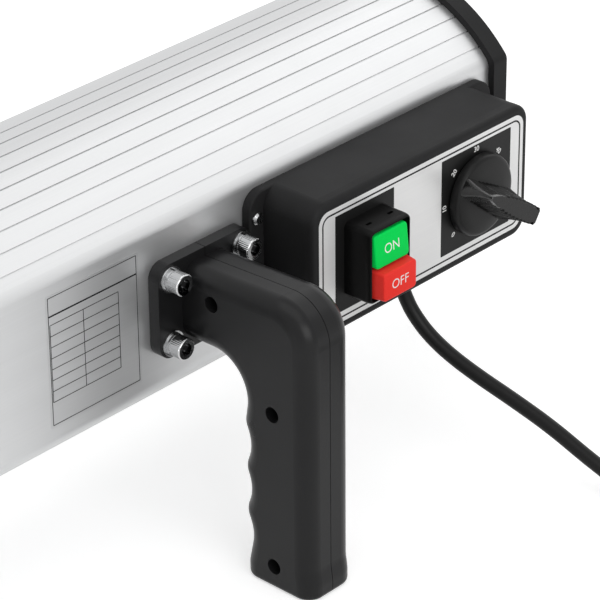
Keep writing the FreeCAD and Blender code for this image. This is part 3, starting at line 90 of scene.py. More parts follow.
# Sizes of the rigid pieces that new ones fit
EAR_WIDTH = 8.5 * MM
BOX_CORNER = 9.0 * MM
PANEL_CORNER = 6.0 * MM
COLLAR_RIM = 1.4 * MM
BLOCK_STEP = 1.1 * MM
WELL_FLOOR = 1.5 * MM
HEAD_RADIUS = 5.0 * MM
HEAD_TOP_SHARE = 0.94
# Radius within which each screw head is painted dark: painted shade in its socket
SHADED_SOCKET_RADIUS = 2.75 * MM

# Half the thickness of a dark film on the collar, painted shade for one of its two recesses, and the
# material slots of the caps
RECESS_SHADE_FILM = 0.04 * MM
CAP_SLOTS = {"on_button": "green_plastic", "off_button": "red_plastic"}

# The lead's route: where it leaves the gland, the end of its first run,
# then reach along the heading and height
GLAND = (0.1115, 0.04055)
LEAD_EXIT = (0.11212, 0.03823, 0.03057)
LEAD_FIRST_END = (0.11278, 0.03577, 0.02426)
LEAD_ROUTE = (
    (0.0090, 0.0181),
    (0.0155, 0.0107),
    (0.0260, 0.0029),
    (0.0405, -0.0047),
    (0.0590, -0.0128),
    (0.0780, -0.0220),
    (0.0960, -0.0331),
    (0.1130, -0.0422),
    (0.1290, -0.0467),
    (0.1440, -0.0467),
)

# Dial numbers with their angles on the panel, in degrees from the right
DIAL_NUMBERS = (("0", 225), ("10", 180), ("20", 135), ("30", 90), ("40", 45), ("50", 0), ("60", -45))

# Effects shared by the finishes: detail of the fine noise and its share of the tone, scale and detail
# of the broad noise, and how far both are stretched
GRAIN = "Moulded Grain"
LINES = "Drawn Lines"
SMUDGES = "Smudges"
# The socket heads' effect also paints shade into their sockets
SOCKET = "Socket Head Shade"
CLOUDS = {
    GRAIN: {"fine_detail": 3, "fine_share": 0.4, "broad_scale": 30, "broad_detail": 4},
    LINES: {
        "fine_detail": 2, "fine_share": 0.5, "broad_scale": 120, "broad_detail": 2,
        "stretch": (0.006, 1, 1),
    },
    SMUDGES: {"fine_detail": 5, "fine_share": 0.6, "broad_scale": 9, "broad_detail": 2},
}

# Where most of a noise lies, the scale of the smudges, and the sockets that take a plain value
NOISE_RANGE = (0.3, 0.7)
SMUDGE_SCALE = 45
PLAIN_SOCKETS = ("Metallic", "Specular IOR Level", "Transmission Weight", "IOR", "Coat Roughness")

# The knob's disc, in millimetres: radius and height over the panel, from its middle over the rim
# to the hollow below
DISC_POINTS = 96
KNOB_DISC = (
    (0.6, 6.35), (6.0, 6.3), (12.0, 6.15), (17.4, 5.8), (18.6, 5.5), (19.2, 4.9), (19.5, 4.0), (19.5, 1.2),
    (19.3, 1.0), (16.7, 1.0), (16.5, 1.2), (16.5, 4.4), (16.3, 4.5), (6.5, 4.5),
)
# The knob's blade, in millimetres: ends along the pointer and heights, then share of its length and half
# its width there, the rounding of its crest, the crest's gloss, and where along it the flutes start
# and reach their depth
CREST_ENDS = (-18.8, 20.6)
FOOT_ENDS = (-18.5, 17.2)
CREST_HEIGHT = 22.7
FOOT_HEIGHT = 5.2
CREST_SHARE = (0, 0.02, 0.06, 0.15, 0.35, 0.5, 0.7, 0.9, 0.945, 0.958, 0.971, 1)
CREST_HALF = (0.5, 1.1, 1.7, 2.7, 4.3, 4.8, 4.9, 4.5, 4.3, 3.4, 4.3, 4.1)
FOOT_SHARE = (0, 0.012, 0.035, 0.5, 0.95, 0.985, 1)
FOOT_HALF = (2.8, 4.0, 4.7, 6.4, 7.9, 7.6, 6.8)
CREST_EDGE = 0.35
CREST_GLOSS = 0.3
FLUTE_START = 0.16
FLUTE_FULL = 0.28
BLADE_STEPS = 180
BLADE_LEVELS = 9
RIDGE_GLOSS = "ridge_gloss"

# Finish of each material slot: effect and its scale, dark and light tint unless they are settings,
# roughness range, bump and constants
FINISHES = {
    "satin_aluminium": {
        "effect": LINES, "scale": 1800, "rough": (0.42, 0.48), "bump": 0.04, "depth": 0.015, "Metallic": 1.0,
    },
    "polished_aluminium": {
        "effect": LINES, "scale": 1400, "dark": (0.80, 0.80, 0.80), "light": (0.90, 0.90, 0.89),
        "rough": (0.06, 0.16), "bump": 0.02, "depth": 0.01, "Metallic": 1.0,
    },
    "panel_silver": {
        "effect": LINES, "scale": 1900, "dark": (0.77, 0.77, 0.77), "light": (0.81, 0.81, 0.805),
        "rough": (0.36, 0.46), "bump": 0.03, "depth": 0.01, "Metallic": 0.3,
    },
    "black_plastic": {
        "effect": GRAIN, "scale": 1500, "rough": (0.40, 0.54), "bump": 0.22, "depth": 0.06,
        "Specular IOR Level": 0.08,
    },
    "handle_black": {
        "effect": GRAIN, "scale": 1500, "rough": (0.26, 0.36), "bump": 0.22, "depth": 0.06,
        "Specular IOR Level": 0.2,
    },
    "switch_black": {
        "effect": GRAIN, "scale": 2200, "dark": (0.004, 0.004, 0.004), "light": (0.0065, 0.0065, 0.0065),
        "rough": (0.30, 0.42), "bump": 0.12, "depth": 0.04, "Specular IOR Level": 0.08,
    },
    "knob_black": {
        "effect": GRAIN, "scale": 1900, "dark": (0.007, 0.007, 0.007), "light": (0.012, 0.012, 0.012),
        "rough": (0.30, 0.42), "bump": 0.08, "depth": 0.03, "Specular IOR Level": 0.15,
    },
    "blade_black": {
        "effect": GRAIN, "scale": 1900, "dark": (0.003, 0.003, 0.003), "light": (0.006, 0.006, 0.006),
        "rough": (0.22, 0.32), "bump": 0.06, "depth": 0.03, "Specular IOR Level": 0.08,
        "Coat Roughness": 0.15,
    },
    # Near-black for the thin films that paint the shade in the collar's two recesses
    "mark_black": {
        "effect": GRAIN, "scale": 2600, "dark": (0.0004, 0.0004, 0.0004), "light": (0.001, 0.001, 0.001),
        "rough": (0.60, 0.70), "bump": 0.04, "depth": 0.01, "Specular IOR Level": 0.0,
    },
    "zinc_steel": {
        "effect": GRAIN, "scale": 1100, "dark": (0.36, 0.365, 0.37), "light": (0.58, 0.585, 0.59),
        "rough": (0.14, 0.26), "bump": 0.05, "depth": 0.02, "Metallic": 1.0,
    },
    # Screw heads: the dark tint is painted shade in their sockets, the light tint is the metal
    "socket_screw_shaded": {
        "effect": SOCKET, "scale": 40, "dark": (0.10, 0.10, 0.102), "light": (0.52, 0.525, 0.53),
        "rough": (0.08, 0.16), "bump": 0.35, "depth": 0.25, "Metallic": 1.0,
    },
    "dark_steel": {
        "effect": GRAIN, "scale": 1300, "dark": (0.022, 0.022, 0.024), "light": (0.055, 0.055, 0.058),
        "rough": (0.30, 0.46), "bump": 0.06, "depth": 0.02, "Metallic": 0.9,
    },
    "guard_steel": {
        "effect": LINES, "scale": 700, "dark": (0.50, 0.51, 0.52), "light": (0.66, 0.67, 0.68),
        "rough": (0.20, 0.34), "bump": 0.04, "depth": 0.02, "Metallic": 1.0,
    },
    "quartz_glass": {
        "effect": GRAIN, "scale": 60, "dark": (0.90, 0.92, 0.93), "light": (0.97, 0.98, 0.98),
        "rough": (0.01, 0.06), "bump": 0.02, "depth": 0.02, "Transmission Weight": 1.0, "IOR": 1.46,
    },
    "tungsten_wire": {
        "effect": LINES, "scale": 1500, "dark": (0.16, 0.155, 0.15), "light": (0.28, 0.27, 0.26),
        "rough": (0.36, 0.52), "bump": 0.10, "depth": 0.03, "Metallic": 1.0,
    },
    "white_ceramic": {
        "effect": GRAIN, "scale": 800, "dark": (0.72, 0.70, 0.66), "light": (0.82, 0.81, 0.78),
        "rough": (0.42, 0.58), "bump": 0.12, "depth": 0.04, "Specular IOR Level": 0.4,
    },
    "white_plastic": {
        "effect": GRAIN, "scale": 1400, "dark": (0.76, 0.76, 0.74), "light": (0.86, 0.86, 0.85),
        "rough": (0.36, 0.48), "bump": 0.06, "depth": 0.03, "Specular IOR Level": 0.4,
    },
    "green_plastic": {
        "effect": GRAIN, "scale": 1200, "rough": (0.28, 0.40), "bump": 0.05, "depth": 0.03,
        "Specular IOR Level": 0.05,
    },
    "red_plastic": {
        "effect": GRAIN, "scale": 1200, "rough": (0.28, 0.40), "bump": 0.05, "depth": 0.03,
        "Specular IOR Level": 0.1,
    },
    "black_rubber": {
        "effect": GRAIN, "scale": 1000, "dark": (0.009, 0.009, 0.009), "light": (0.016, 0.016, 0.016),
        "rough": (0.55, 0.72), "bump": 0.16, "depth": 0.05, "Specular IOR Level": 0.3,
    },
    "cord_black": {
        "effect": GRAIN, "scale": 700, "dark": (0.006, 0.006, 0.006), "light": (0.010, 0.010, 0.010),
        "rough": (0.30, 0.42), "bump": 0.06, "depth": 0.04, "Specular IOR Level": 0.15,
    },
    "plated_brass": {
        "effect": LINES, "scale": 900, "dark": (0.62, 0.60, 0.54), "light": (0.76, 0.74, 0.68),
        "rough": (0.16, 0.30), "bump": 0.04, "depth": 0.02, "Metallic": 1.0,
    },
    "print_black": {
        "effect": GRAIN, "scale": 2600, "dark": (0.005, 0.005, 0.005), "light": (0.009, 0.009, 0.009),
        "rough": (0.40, 0.52), "bump": 0.04, "depth": 0.01, "Specular IOR Level": 0.18,
    },
    "print_white": {
        "effect": GRAIN, "scale": 2600, "dark": (0.78, 0.78, 0.77), "light": (0.90, 0.90, 0.89),
        "rough": (0.40, 0.54), "bump": 0.04, "depth": 0.01, "Specular IOR Level": 0.35,
    },
    "label_foil": {
        "effect": LINES, "scale": 2200, "dark": (0.55, 0.555, 0.56), "light": (0.60, 0.605, 0.61),
        "rough": (0.38, 0.46), "bump": 0.03, "depth": 0.01, "Metallic": 0.85,
    },
}

# Pieces with a finish of their own
NODE_FINISHES = {
    "handle_mount_screws": "socket_screw_shaded",
    "handle_left_shell": "handle_black",
    "handle_right_shell": "handle_black",
}

# Soft lamps: place, width, height and power in watts
LAMP_AIM = (0.05, 0.05, 0.06)
LAMPS = {
    "right_softbox": ((3.5, 0.14, 2.4), 4.7, 2.9, 36),
    "overhead_softbox": ((-0.5, -0.1, 2.0), 2.6, 1.6, 12),
    "front_softbox": ((-0.5, -1.9, 1.0), 1.6, 1.2, 16),
}
CAMERA_REACH = 20


# Settings

def length_setting(name, description, millimetres):
    """A length that a user may change."""
    return FloatProperty(name=name, description=description, default=millimetres * MM, unit="LENGTH")


def angle_setting(name, description, degrees):
    """An angle that a user may change."""
    return FloatProperty(name=name, description=description, default=math.radians(degrees), subtype="ANGLE")


def colour_setting(name, description, colour):
    """A colour that a user may change."""
    return FloatVectorProperty(name=name, description=description, default=colour, subtype="COLOR")


class FinishSettings(bpy.types.PropertyGroup):
    """Dark and light tint of the finishes that show most, under the names of their slots."""

    satin_aluminium_dark: colour_setting(
        "Housing Dark", "The darker tint of the brushed housing", (0.61, 0.615, 0.62))
    satin_aluminium_light: colour_setting(
        "Housing Light", "The lighter tint of the brushed housing", (0.64, 0.645, 0.65))
    black_plastic_dark: colour_setting(
        "Plastic Dark", "The darker tint of the box and the end caps", (0.0155, 0.0155, 0.016))
    black_plastic_light: colour_setting(
        "Plastic Light", "The lighter tint of the box and the end caps", (0.0215, 0.0215, 0.022))
    handle_black_dark: colour_setting(
        "Handle Dark", "The darker tint of the handle", (0.0075, 0.0075, 0.008))
    handle_black_light: colour_setting(
        "Handle Light", "The lighter tint of the handle", (0.0115, 0.0115, 0.012))
    green_plastic_dark: colour_setting("ON Dark", "The darker tint of the ON button", (0.0005, 0.66, 0.085))
    green_plastic_light: colour_setting("ON Light", "The lighter tint of the ON button", (0.001, 0.72, 0.1))
    red_plastic_dark: colour_setting("OFF Dark", "The darker tint of the OFF button", (0.86, 0.034, 0.026))
    red_plastic_light: colour_setting(
        "OFF Light", "The lighter tint of the OFF button", (0.92, 0.046, 0.034))


class LeadSettings(bpy.types.PropertyGroup):
    """Sizes of the mains lead and its put-away turns."""

    radius: length_setting("Radius", "Half the thickness of the lead", 3.5)
    heading: angle_setting("Heading", "Way in which the lead runs off", -75)
    lead_in: length_setting("Lead-in", "Straight run before the turns", 29)
    turns: IntProperty(name="Turns", description="Turns put away in two layers", default=6)
    turn_points: IntProperty(name="Points per Turn", description="Control points of a turn", default=24)
    inner: length_setting("Inner Radius", "Radius of the innermost turn", 26.5)
    pitch: length_setting("Pitch", "Step from turn to turn and layer to layer", 7.6)
    climb_turns: FloatProperty(
        name="Climb", description="Share of a turn on each side of the middle that climbs a layer",
        default=0.25)
    tail: length_setting("Tail", "Straight run from the turns to the plug", 31)
    length: FloatProperty(
        name="Length", description="Whole length of the lead", default=1.65, unit="LENGTH")


class PrintSettings(bpy.types.PropertyGroup):
    """Sizes of the print on the control panel and of the lettering."""

    film: length_setting("Film", "Thickness of a printed film", 0.06)
    ring_inset: length_setting("Ring Inset", "From the panel's edge to the ring line", 2.1)
    ring_width: length_setting("Ring Width", "Width of the ring line", 0.8)
    ring_corner: length_setting("Ring Corner", "Corner radius of the ring line", 4.5)
    field_corner: length_setting("Field Corner", "Corner radius of the dark fields", 0.4)
    dial_side: length_setting("Dial Side", "Side of the dark square behind the dial", 48)
    dial_hole: length_setting("Dial Hole", "Radius left free round the timer's nut", 10)
    collar_cover: length_setting("Collar Cover", "How far the collar stands on the film", 1.0)
    switch_width: length_setting("Switch Width", "Width of the field behind the switch", 38.4)
    number_radius: length_setting("Number Radius", "From the dial's middle to its numbers", 21.9)
    number_size: length_setting("Number Size", "Size of the dial's numbers", 3.5)
    number_weight: length_setting("Number Weight", "How much bolder the numbers are", 0.07)
    word_size: length_setting("Word Size", "Size of the words on the buttons", 6.4)
    word_weight: length_setting("Word Weight", "How much bolder the words are", -0.04)


class ControlSettings(bpy.types.PropertyGroup):
    """Sizes of the push buttons' caps, the switch's collar, the bezel and the timer's knob."""

    cap_round: length_setting("Cap Round", "Rounding of the buttons' edges", 0.7)
    cap_corner: length_setting("Cap Corner", "Corner radius of the buttons", 1.8)
    pocket_radius: length_setting("Pocket Radius", "Radius of the spring's pocket", 4.0)
    pocket_depth: length_setting("Pocket Depth", "Depth of the spring's pocket", 4.2)
    on_right: length_setting("ON Right", "Dark gap on the right of the ON button", 1.9)
    on_top: length_setting("ON Top", "Dark gap over the ON button", 0.8)
    on_slope: length_setting("ON Slope", "How much further out its lower edge stands", 1.6)
    off_proud: length_setting("OFF Proud", "How much further out the OFF button stands", 1.8)
    off_taper: length_setting("OFF Taper", "How much the OFF button draws in to its face", 1.1)
    collar_corner: length_setting("Collar Corner", "Corner radius of the collar", 2.8)
    collar_round: length_setting("Collar Round", "How far back the collar's edge is rounded", 3.2)
    collar_edge: length_setting("Collar Edge", "How far in the collar's edge is rounded", 1.2)
    # The collar's marks are thin dark films that paint the shade in two recesses on its top
    recess_shade_spacing: length_setting("Mark Spacing", "Step between the collar's marks", 14.0)
    recess_shade_place: length_setting("Mark Place", "How far the marks lie from the panel", 8.5)
    recess_shade_length: length_setting("Mark Length", "Length of a mark", 3.2)
    recess_shade_width: length_setting("Mark Width", "Width of a mark", 1.4)
    bezel_round: length_setting("Bezel Round", "Rounding of the bezel's outer edge", 2.4)
    bezel_depth: length_setting("Bezel Depth", "How far the bezel reaches back", 6.0)
    bezel_lap: length_setting("Bezel Lap", "How far it laps over the box's sides", 0.06)
    knob_pointer: angle_setting("Pointer", "Where the knob points", -34)
    flute_pitch: length_setting("Flute Pitch", "Step between the blade's flutes", 3.2)
    flute_depth: length_setting("Flute Depth", "Depth of the blade's flutes", 1.15)


class LabelSettings(bpy.types.PropertyGroup):
    """Sizes of the blank rating label."""

    left: length_setting("Left", "The label's left edge", -87.5)
    width: length_setting("Width", "The label's width", 53.5)
    height: length_setting("Height", "The label's height", 62.9)
    corner: length_setting("Corner", "The label's corner radius", 1.0)
    margin: length_setting("Margin", "From the edge to the border line", 1.2)
    line: length_setting("Line", "Width of a ruled line", 0.32)
    header_line: length_setting("Header Line", "Width of the line under the head", 0.7)
    header: length_setting("Header", "Height of the head", 10.0)
    table_drop: length_setting("Table Drop", "From the top edge to the table", 14.1)
    table_inset: length_setting("Table Inset", "From the left edge to the table", 2.0)
    table_width: length_setting("Table Width", "Width of the table", 39.3)
    divider: length_setting("Divider", "From the table's left edge to its divider", 19.0)
    rows: IntProperty(name="Rows", description="Rows of the table", default=7)
    row_height: length_setting("Row Height", "Height of a row", 5.22)


class StageSettings(bpy.types.PropertyGroup):
    """Camera, floor and light."""

    lens: FloatProperty(
        name="Lens", description="Focal length in millimetres on a 36 mm sensor", default=197.3)
    place: FloatVectorProperty(
        name="Place", description="Where the camera stands",
        default=(-0.87709, -0.81667, 0.74784), unit="LENGTH")
    azimuth: angle_setting("Azimuth", "Turn about the upright", -47.12)
    elevation: angle_setting("Elevation", "How far the camera looks down", 28.93)
    roll: angle_setting("Roll", "Turn about the line of sight", -0.55)
    floor_half: FloatProperty(
        name="Floor", description="Half the side of the floor", default=4.0, unit="LENGTH")
    world: FloatProperty(name="World", description="Strength of the light from all round", default=0.45)
    floor_colour: colour_setting("Floor Colour", "Colour of the floor", (0.82, 0.82, 0.82))
    glow: FloatProperty(name="Floor Glow", description="What the floor adds of its own", default=0.5)


# Meshes

def rounded_outline(left, right, bottom, top, corner):
    """A rectangle's outline, anticlockwise, with a quarter circle of equal chords at each corner."""
    turn = np.linspace(0, math.pi / 2, CORNER_STEPS + 1) + np.arange(4)[:, None] * math.pi / 2
    east, west, north, south = right - corner, left + corner, top - corner, bottom + corner
    middles = np.array([(east, north), (west, north), (west, south), (east, south)])
    arcs = middles[:, None, :] + corner * np.stack([np.cos(turn), np.sin(turn)], axis=-1)
    return arcs.reshape(-1, 2)


def sides_of(node):
    """Left, right, bottom and top of a node's box."""
    low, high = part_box(node)
    return low[0], high[0], low[2], high[2]


def front_of(node):
    """The depth of a node's foremost face."""
    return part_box(node)[0][1]


def middle_of(node):
    """The middle of a node's box."""
    return np.mean(np.array(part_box(node)), axis=0)


def drawn_in(sides, inset, corner):
    """A rectangle's rounded outline, drawn in from its sides all round."""
    left, right, bottom, top = sides
    return rounded_outline(left + inset, right - inset, bottom + inset, top - inset, corner)


def square_about(middle, half, corner):
    """A square's rounded outline about its middle: a circle where the corner is half the side."""
    x, z = middle
    return rounded_outline(x - half, x + half, z - half, z + half, corner)


def edge_round(inward, backward, steps):
    """Insets and depths along a quarter of an ellipse, from a face round to its side."""
    turn = np.linspace(0, math.pi / 2, steps)
    return zip(inward * (1 - np.sin(turn)), backward * (1 - np.cos(turn)))


def ring_at(outline, depth):
    """An outline stood upright at a depth, or at a depth for each of its points."""
    return np.column_stack([outline[:, 0], np.broadcast_to(depth, len(outline)), outline[:, 1]])


def lofted(rings, looped=False):
    """A closed skin through rings of as many points, front to back: quads from ring to ring.

    The first and the last ring are closed by lids, or joined to each other where the skin is looped.
    """
    rings = np.array(rings)
    levels, count = rings.shape[:2]
    step = np.arange(levels if looped else levels - 1)[:, None]
    here = np.arange(count)
    ahead = np.roll(here, -1)
    front = step * count
    back = (step + 1) % levels * count
    quads = np.stack([front + here, back + here, back + ahead, front + ahead], axis=-1).reshape(-1, 4)
    lids = [] if looped else [here.tolist(), (here[::-1] + (levels - 1) * count).tolist()]
    return rings.reshape(-1, 3), quads.tolist() + lids


def film_plate(outline, back, front):
    """A thin upright plate: one outline at two depths."""
    return lofted([ring_at(outline, front), ring_at(outline, back)])


def film_band(outer, inner, back, front):
    """A thin upright band between two outlines of as many points, at two depths."""
    rings = [ring_at(outer, front), ring_at(outer, back), ring_at(inner, back), ring_at(inner, front)]
    return lofted(rings, looped=True)


def joined(parts):
    """Several meshes as one: their vertices in a row and their faces counted on."""
    vertices = np.concatenate([part[0] for part in parts])
    starts = np.cumsum([0] + [len(part[0]) for part in parts])
    faces = [[int(start) + i for i in face] for part, start in zip(parts, starts) for face in part[1]]
    return vertices, faces


def add_piece(name, vertices, faces, finish, body=DRYER, slot=None):
    """A mesh object at the origin with a finish, riding on a body. The slot argument is not used."""
    mesh = bpy.data.meshes.new(name)
    mesh.from_pydata(vertices.tolist(), [], faces)
    mesh.shade_smooth()
    mesh.set_sharp_from_angle(angle=SHARP_ANGLE)
    piece = bpy.data.objects.new(name, mesh)
    bpy.context.scene.collection.objects.link(piece)
    mesh.materials.append(bpy.data.materials["finish_" + finish])
    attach(piece, body)
    return piece


def word_mesh(word, size, weight, thickness):
    """A word as a closed mesh about its middle: x along the word, y up and z towards the reader."""
    curve = bpy.data.curves.new("word", "FONT")
    curve.body = word
    curve.size = size
    curve.offset = weight
    curve.extrude = thickness
    holder = bpy.data.objects.new("word", curve)
    bpy.context.scene.collection.objects.link(holder)
    seen = holder.evaluated_get(bpy.context.evaluated_depsgraph_get())
    mesh = bpy.data.meshes.new_from_object(seen)
    cells = bmesh.new()
    cells.from_mesh(mesh)
    bmesh.ops.remove_doubles(cells, verts=cells.verts, dist=size * MERGE_SHARE)
    bmesh.ops.recalc_face_normals(cells, faces=cells.faces)
    cells.to_mesh(mesh)
    cells.free()
    points = np.empty(3 * len(mesh.vertices), dtype=np.float32)
    mesh.vertices.foreach_get("co", points)
    points = points.reshape(-1, 3).astype(float)
    faces = [list(face.vertices) for face in mesh.polygons]
    bpy.data.meshes.remove(mesh)
    bpy.data.objects.remove(holder)
    bpy.data.curves.remove(curve)
    return points - (points.min(axis=0) + points.max(axis=0)) / 2, faces


def laid_word(word, middle, depth, angle):
    """A word's points turned by an angle about its middle and stood on an upright face at its depth."""
    x, z = middle
    across = x + word[:, 0] * math.cos(angle) - word[:, 1] * math.sin(angle)
    upward = z + word[:, 0] * math.sin(angle) + word[:, 1] * math.cos(angle)
    return np.column_stack([across, depth - word[:, 2], upward])


# Finishes

def start_effect(name):
    """An empty effect with a scale, a height and a tone, and its coordinates on the object."""
    tree = bpy.data.node_groups.new(name, "ShaderNodeTree")
    tree.interface.new_socket("Scale", in_out="INPUT", socket_type="NodeSocketFloat")
    tree.interface.new_socket("Height", in_out="OUTPUT", socket_type="NodeSocketFloat")
    tree.interface.new_socket("Tone", in_out="OUTPUT", socket_type="NodeSocketFloat")
    place = tree.nodes.new("ShaderNodeTexCoord")
    return tree, tree.nodes.new("NodeGroupInput"), tree.nodes.new("NodeGroupOutput"), place.outputs["Object"]


def add_noise(tree, place, detail):
    """A noise over the given coordinates."""
    noise = tree.nodes.new("ShaderNodeTexNoise")
    noise.inputs["Detail"].default_value = detail
    tree.links.new(place, noise.inputs["Vector"])
    return noise


def make_clouds(name, look):
    """An effect of two noises, a fine and a broad one: the fine one is the height, and both mixed the tone.

    Stretched along the object's length they become lines, which vary only across it.
    """
    tree, given, result, place = start_effect(name)
    if "stretch" in look:
        stretch = tree.nodes.new("ShaderNodeVectorMath")
        stretch.operation = "MULTIPLY"
        stretch.inputs[1].default_value = look["stretch"]
        tree.links.new(place, stretch.inputs[0])
        place = stretch.outputs["Vector"]
    fine = add_noise(tree, place, look["fine_detail"])
    tree.links.new(given.outputs["Scale"], fine.inputs["Scale"])
    broad = add_noise(tree, place, look["broad_detail"])
    broad.inputs["Scale"].default_value = look["broad_scale"]
    mix = tree.nodes.new("ShaderNodeMix")
    mix.inputs["Factor"].default_value = look["fine_share"]
    tree.links.new(broad.outputs["Fac"], mix.inputs["A"])
    tree.links.new(fine.outputs["Fac"], mix.inputs["B"])
    tree.links.new(fine.outputs["Fac"], result.inputs["Height"])
    tree.links.new(mix.outputs["Result"], result.inputs["Tone"])


def add_math(tree, operation, first, second=0.0):
    """One step of arithmetic on a socket and a number or another socket."""
    step = tree.nodes.new("ShaderNodeMath")
    step.operation = operation
    tree.links.new(first, step.inputs[0])
    if isinstance(second, float):
        step.inputs[1].default_value = second
    else:
        tree.links.new(second, step.inputs[1])
    return step.outputs["Value"]


def make_socket():
    """Socket heads: ridges round each head for the height, and painted shade, a dark tone, in the socket at
    its middle.

    The heads are the corners of a rectangle. A point's distances from its middle, less half its sides,
    are those from the nearest head.
    """
    tree, given, result, place = start_effect(SOCKET)
    split = tree.nodes.new("ShaderNodeSeparateXYZ")
    tree.links.new(place, split.inputs["Vector"])
    low, high = np.array(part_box("handle_mount_screws"))
    middle = (low + high) / 2
    reach = (high - low) / 2 - HEAD_RADIUS
    offsets = []
    for axis, name in ((0, "X"), (2, "Z")):
        from_middle = add_math(tree, "SUBTRACT", split.outputs[name], float(middle[axis]))
        away = add_math(tree, "ABSOLUTE", from_middle)
        offsets.append(add_math(tree, "SUBTRACT", away, float(reach[axis])))
    across, upward = offsets
    across_square = add_math(tree, "MULTIPLY", across, across)
    upward_square = add_math(tree, "MULTIPLY", upward, upward)
    radius = add_math(tree, "SQRT", add_math(tree, "ADD", across_square, upward_square))
    angle = add_math(tree, "ARCTAN2", upward, across)
    ridges = add_math(tree, "SINE", add_math(tree, "MULTIPLY", angle, given.outputs["Scale"]))
    on_side = add_math(tree, "GREATER_THAN", radius, HEAD_TOP_SHARE * HEAD_RADIUS)
    tree.links.new(add_math(tree, "MULTIPLY", ridges, on_side), result.inputs["Height"])
    # Inside the socket the tone is dark: painted shade for the recess
    tree.links.new(add_math(tree, "GREATER_THAN", radius, SHADED_SOCKET_RADIUS), result.inputs["Tone"])


def add_effect(tree, name, scale):
    """A shared effect in a material."""
    node = tree.nodes.new("ShaderNodeGroup")
    node.node_tree = bpy.data.node_groups[name]
    node.inputs["Scale"].default_value = scale
    return node


def spread(tree, source, low, high):
    """A noise's middle range spread over a span."""
    span = tree.nodes.new("ShaderNodeMapRange")
    span.inputs["From Min"].default_value = NOISE_RANGE[0]
    span.inputs["From Max"].default_value = NOISE_RANGE[1]
    span.inputs["To Min"].default_value = low
    span.inputs["To Max"].default_value = high
    tree.links.new(source, span.inputs["Value"])
    return span.outputs["Result"]


def make_finish(name, look, settings):
    """A material: an effect tints the colour and raises the surface, and smudges vary the roughness."""
    material = bpy.data.materials.new("finish_" + name)
    material.use_nodes = True
    tree = material.node_tree
    shader = tree.nodes["Principled BSDF"]
    effect = add_effect(tree, look["effect"], look["scale"])
    tint = tree.nodes.new("ShaderNodeMix")
    tint.data_type = "RGBA"
    tint.inputs["A"].default_value = (*getattr(settings, name + "_dark", look.get("dark")), 1)
    tint.inputs["B"].default_value = (*getattr(settings, name + "_light", look.get("light")), 1)
    tree.links.new(spread(tree, effect.outputs["Tone"], 0, 1), tint.inputs["Factor"])
    tree.links.new(tint.outputs["Result"], shader.inputs["Base Color"])
    smudges = add_effect(tree, SMUDGES, SMUDGE_SCALE)
    tree.links.new(spread(tree, smudges.outputs["Tone"], *look["rough"]), shader.inputs["Roughness"])
    bump = tree.nodes.new("ShaderNodeBump")
    bump.inputs["Strength"].default_value = look["bump"]
    bump.inputs["Distance"].default_value = look["depth"] * MM
    tree.links.new(effect.outputs["Height"], bump.inputs["Height"])
    tree.links.new(bump.outputs["Normal"], shader.inputs["Normal"])
    for socket in PLAIN_SOCKETS:
        if socket in look:
            shader.inputs[socket].default_value = look[socket]


class DRYER_OT_finishes(bpy.types.Operator):
    """Make the finishes and give each rigid node the one of its slot"""

    bl_idname = "dryer.finishes"
    bl_label = "Finish the Pieces"

    def execute(self, context):
        for name, look in CLOUDS.items():
            make_clouds(name, look)
        make_socket()
        for name, look in FINISHES.items():
            make_finish(name, look, context.scene.dryer_finishes)
        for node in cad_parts.values():
            for place in node.material_slots:
                place.material = bpy.data.materials["finish_" + place.material.name.split(".")[0]]
        for node, name in NODE_FINISHES.items():
            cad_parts[node].material_slots[0].material = bpy.data.materials["finish_" + name]
        # The ridges between the blade's flutes shine
        tree = bpy.data.materials["finish_blade_black"].node_tree
        gloss = tree.nodes.new("ShaderNodeAttribute")
        gloss.attribute_name = RIDGE_GLOSS
        tree.links.new(gloss.outputs["Fac"], tree.nodes["Principled BSDF"].inputs["Coat Weight"])
        return {"FINISHED"}


# Lead

def lead_points(settings):
    """Control points of the lead: its route as listed, the turns by a formula, and the run to the plug.

    The turns start on the outer radius, close in by a pitch a turn, climb a layer round the middle one and
    open out again by a pitch a turn.
    """
    heading = np.array([math.cos(settings.heading), math.sin(settings.heading), 0])
    inward = np.array([-heading[1], heading[0], 0])
    upward = np.array([0, 0, 1])
    gland = np.array([*GLAND, 0])
    route = [gland + heading * reach + upward * height for reach, height in LEAD_ROUTE]
    start = route[-1] + heading * settings.lead_in
    half_turns = settings.turns / 2
    outer = settings.inner + settings.pitch * half_turns
    turn = np.linspace(0, settings.turns, settings.turns * settings.turn_points + 1)
    away = turn - half_turns
    climb = settings.climb_turns
    rounded = away ** 2 / (2 * climb) + climb / 2
    radius = settings.inner + settings.pitch * np.where(np.abs(away) < climb, rounded, np.abs(away))
    risen = np.clip(away / (2 * climb) + 0.5, 0, 1)
    layer = settings.pitch * risen ** 2 * (3 - 2 * risen)
    angle = 2 * math.pi * turn
    turns = start + np.outer(outer - radius * np.cos(angle), inward)
    turns = turns + np.outer(radius * np.sin(angle), heading) + np.outer(layer, upward)
    plug = start + upward * settings.pitch + heading * settings.tail
    return np.concatenate([[LEAD_EXIT, LEAD_FIRST_END], route, turns, [plug]])


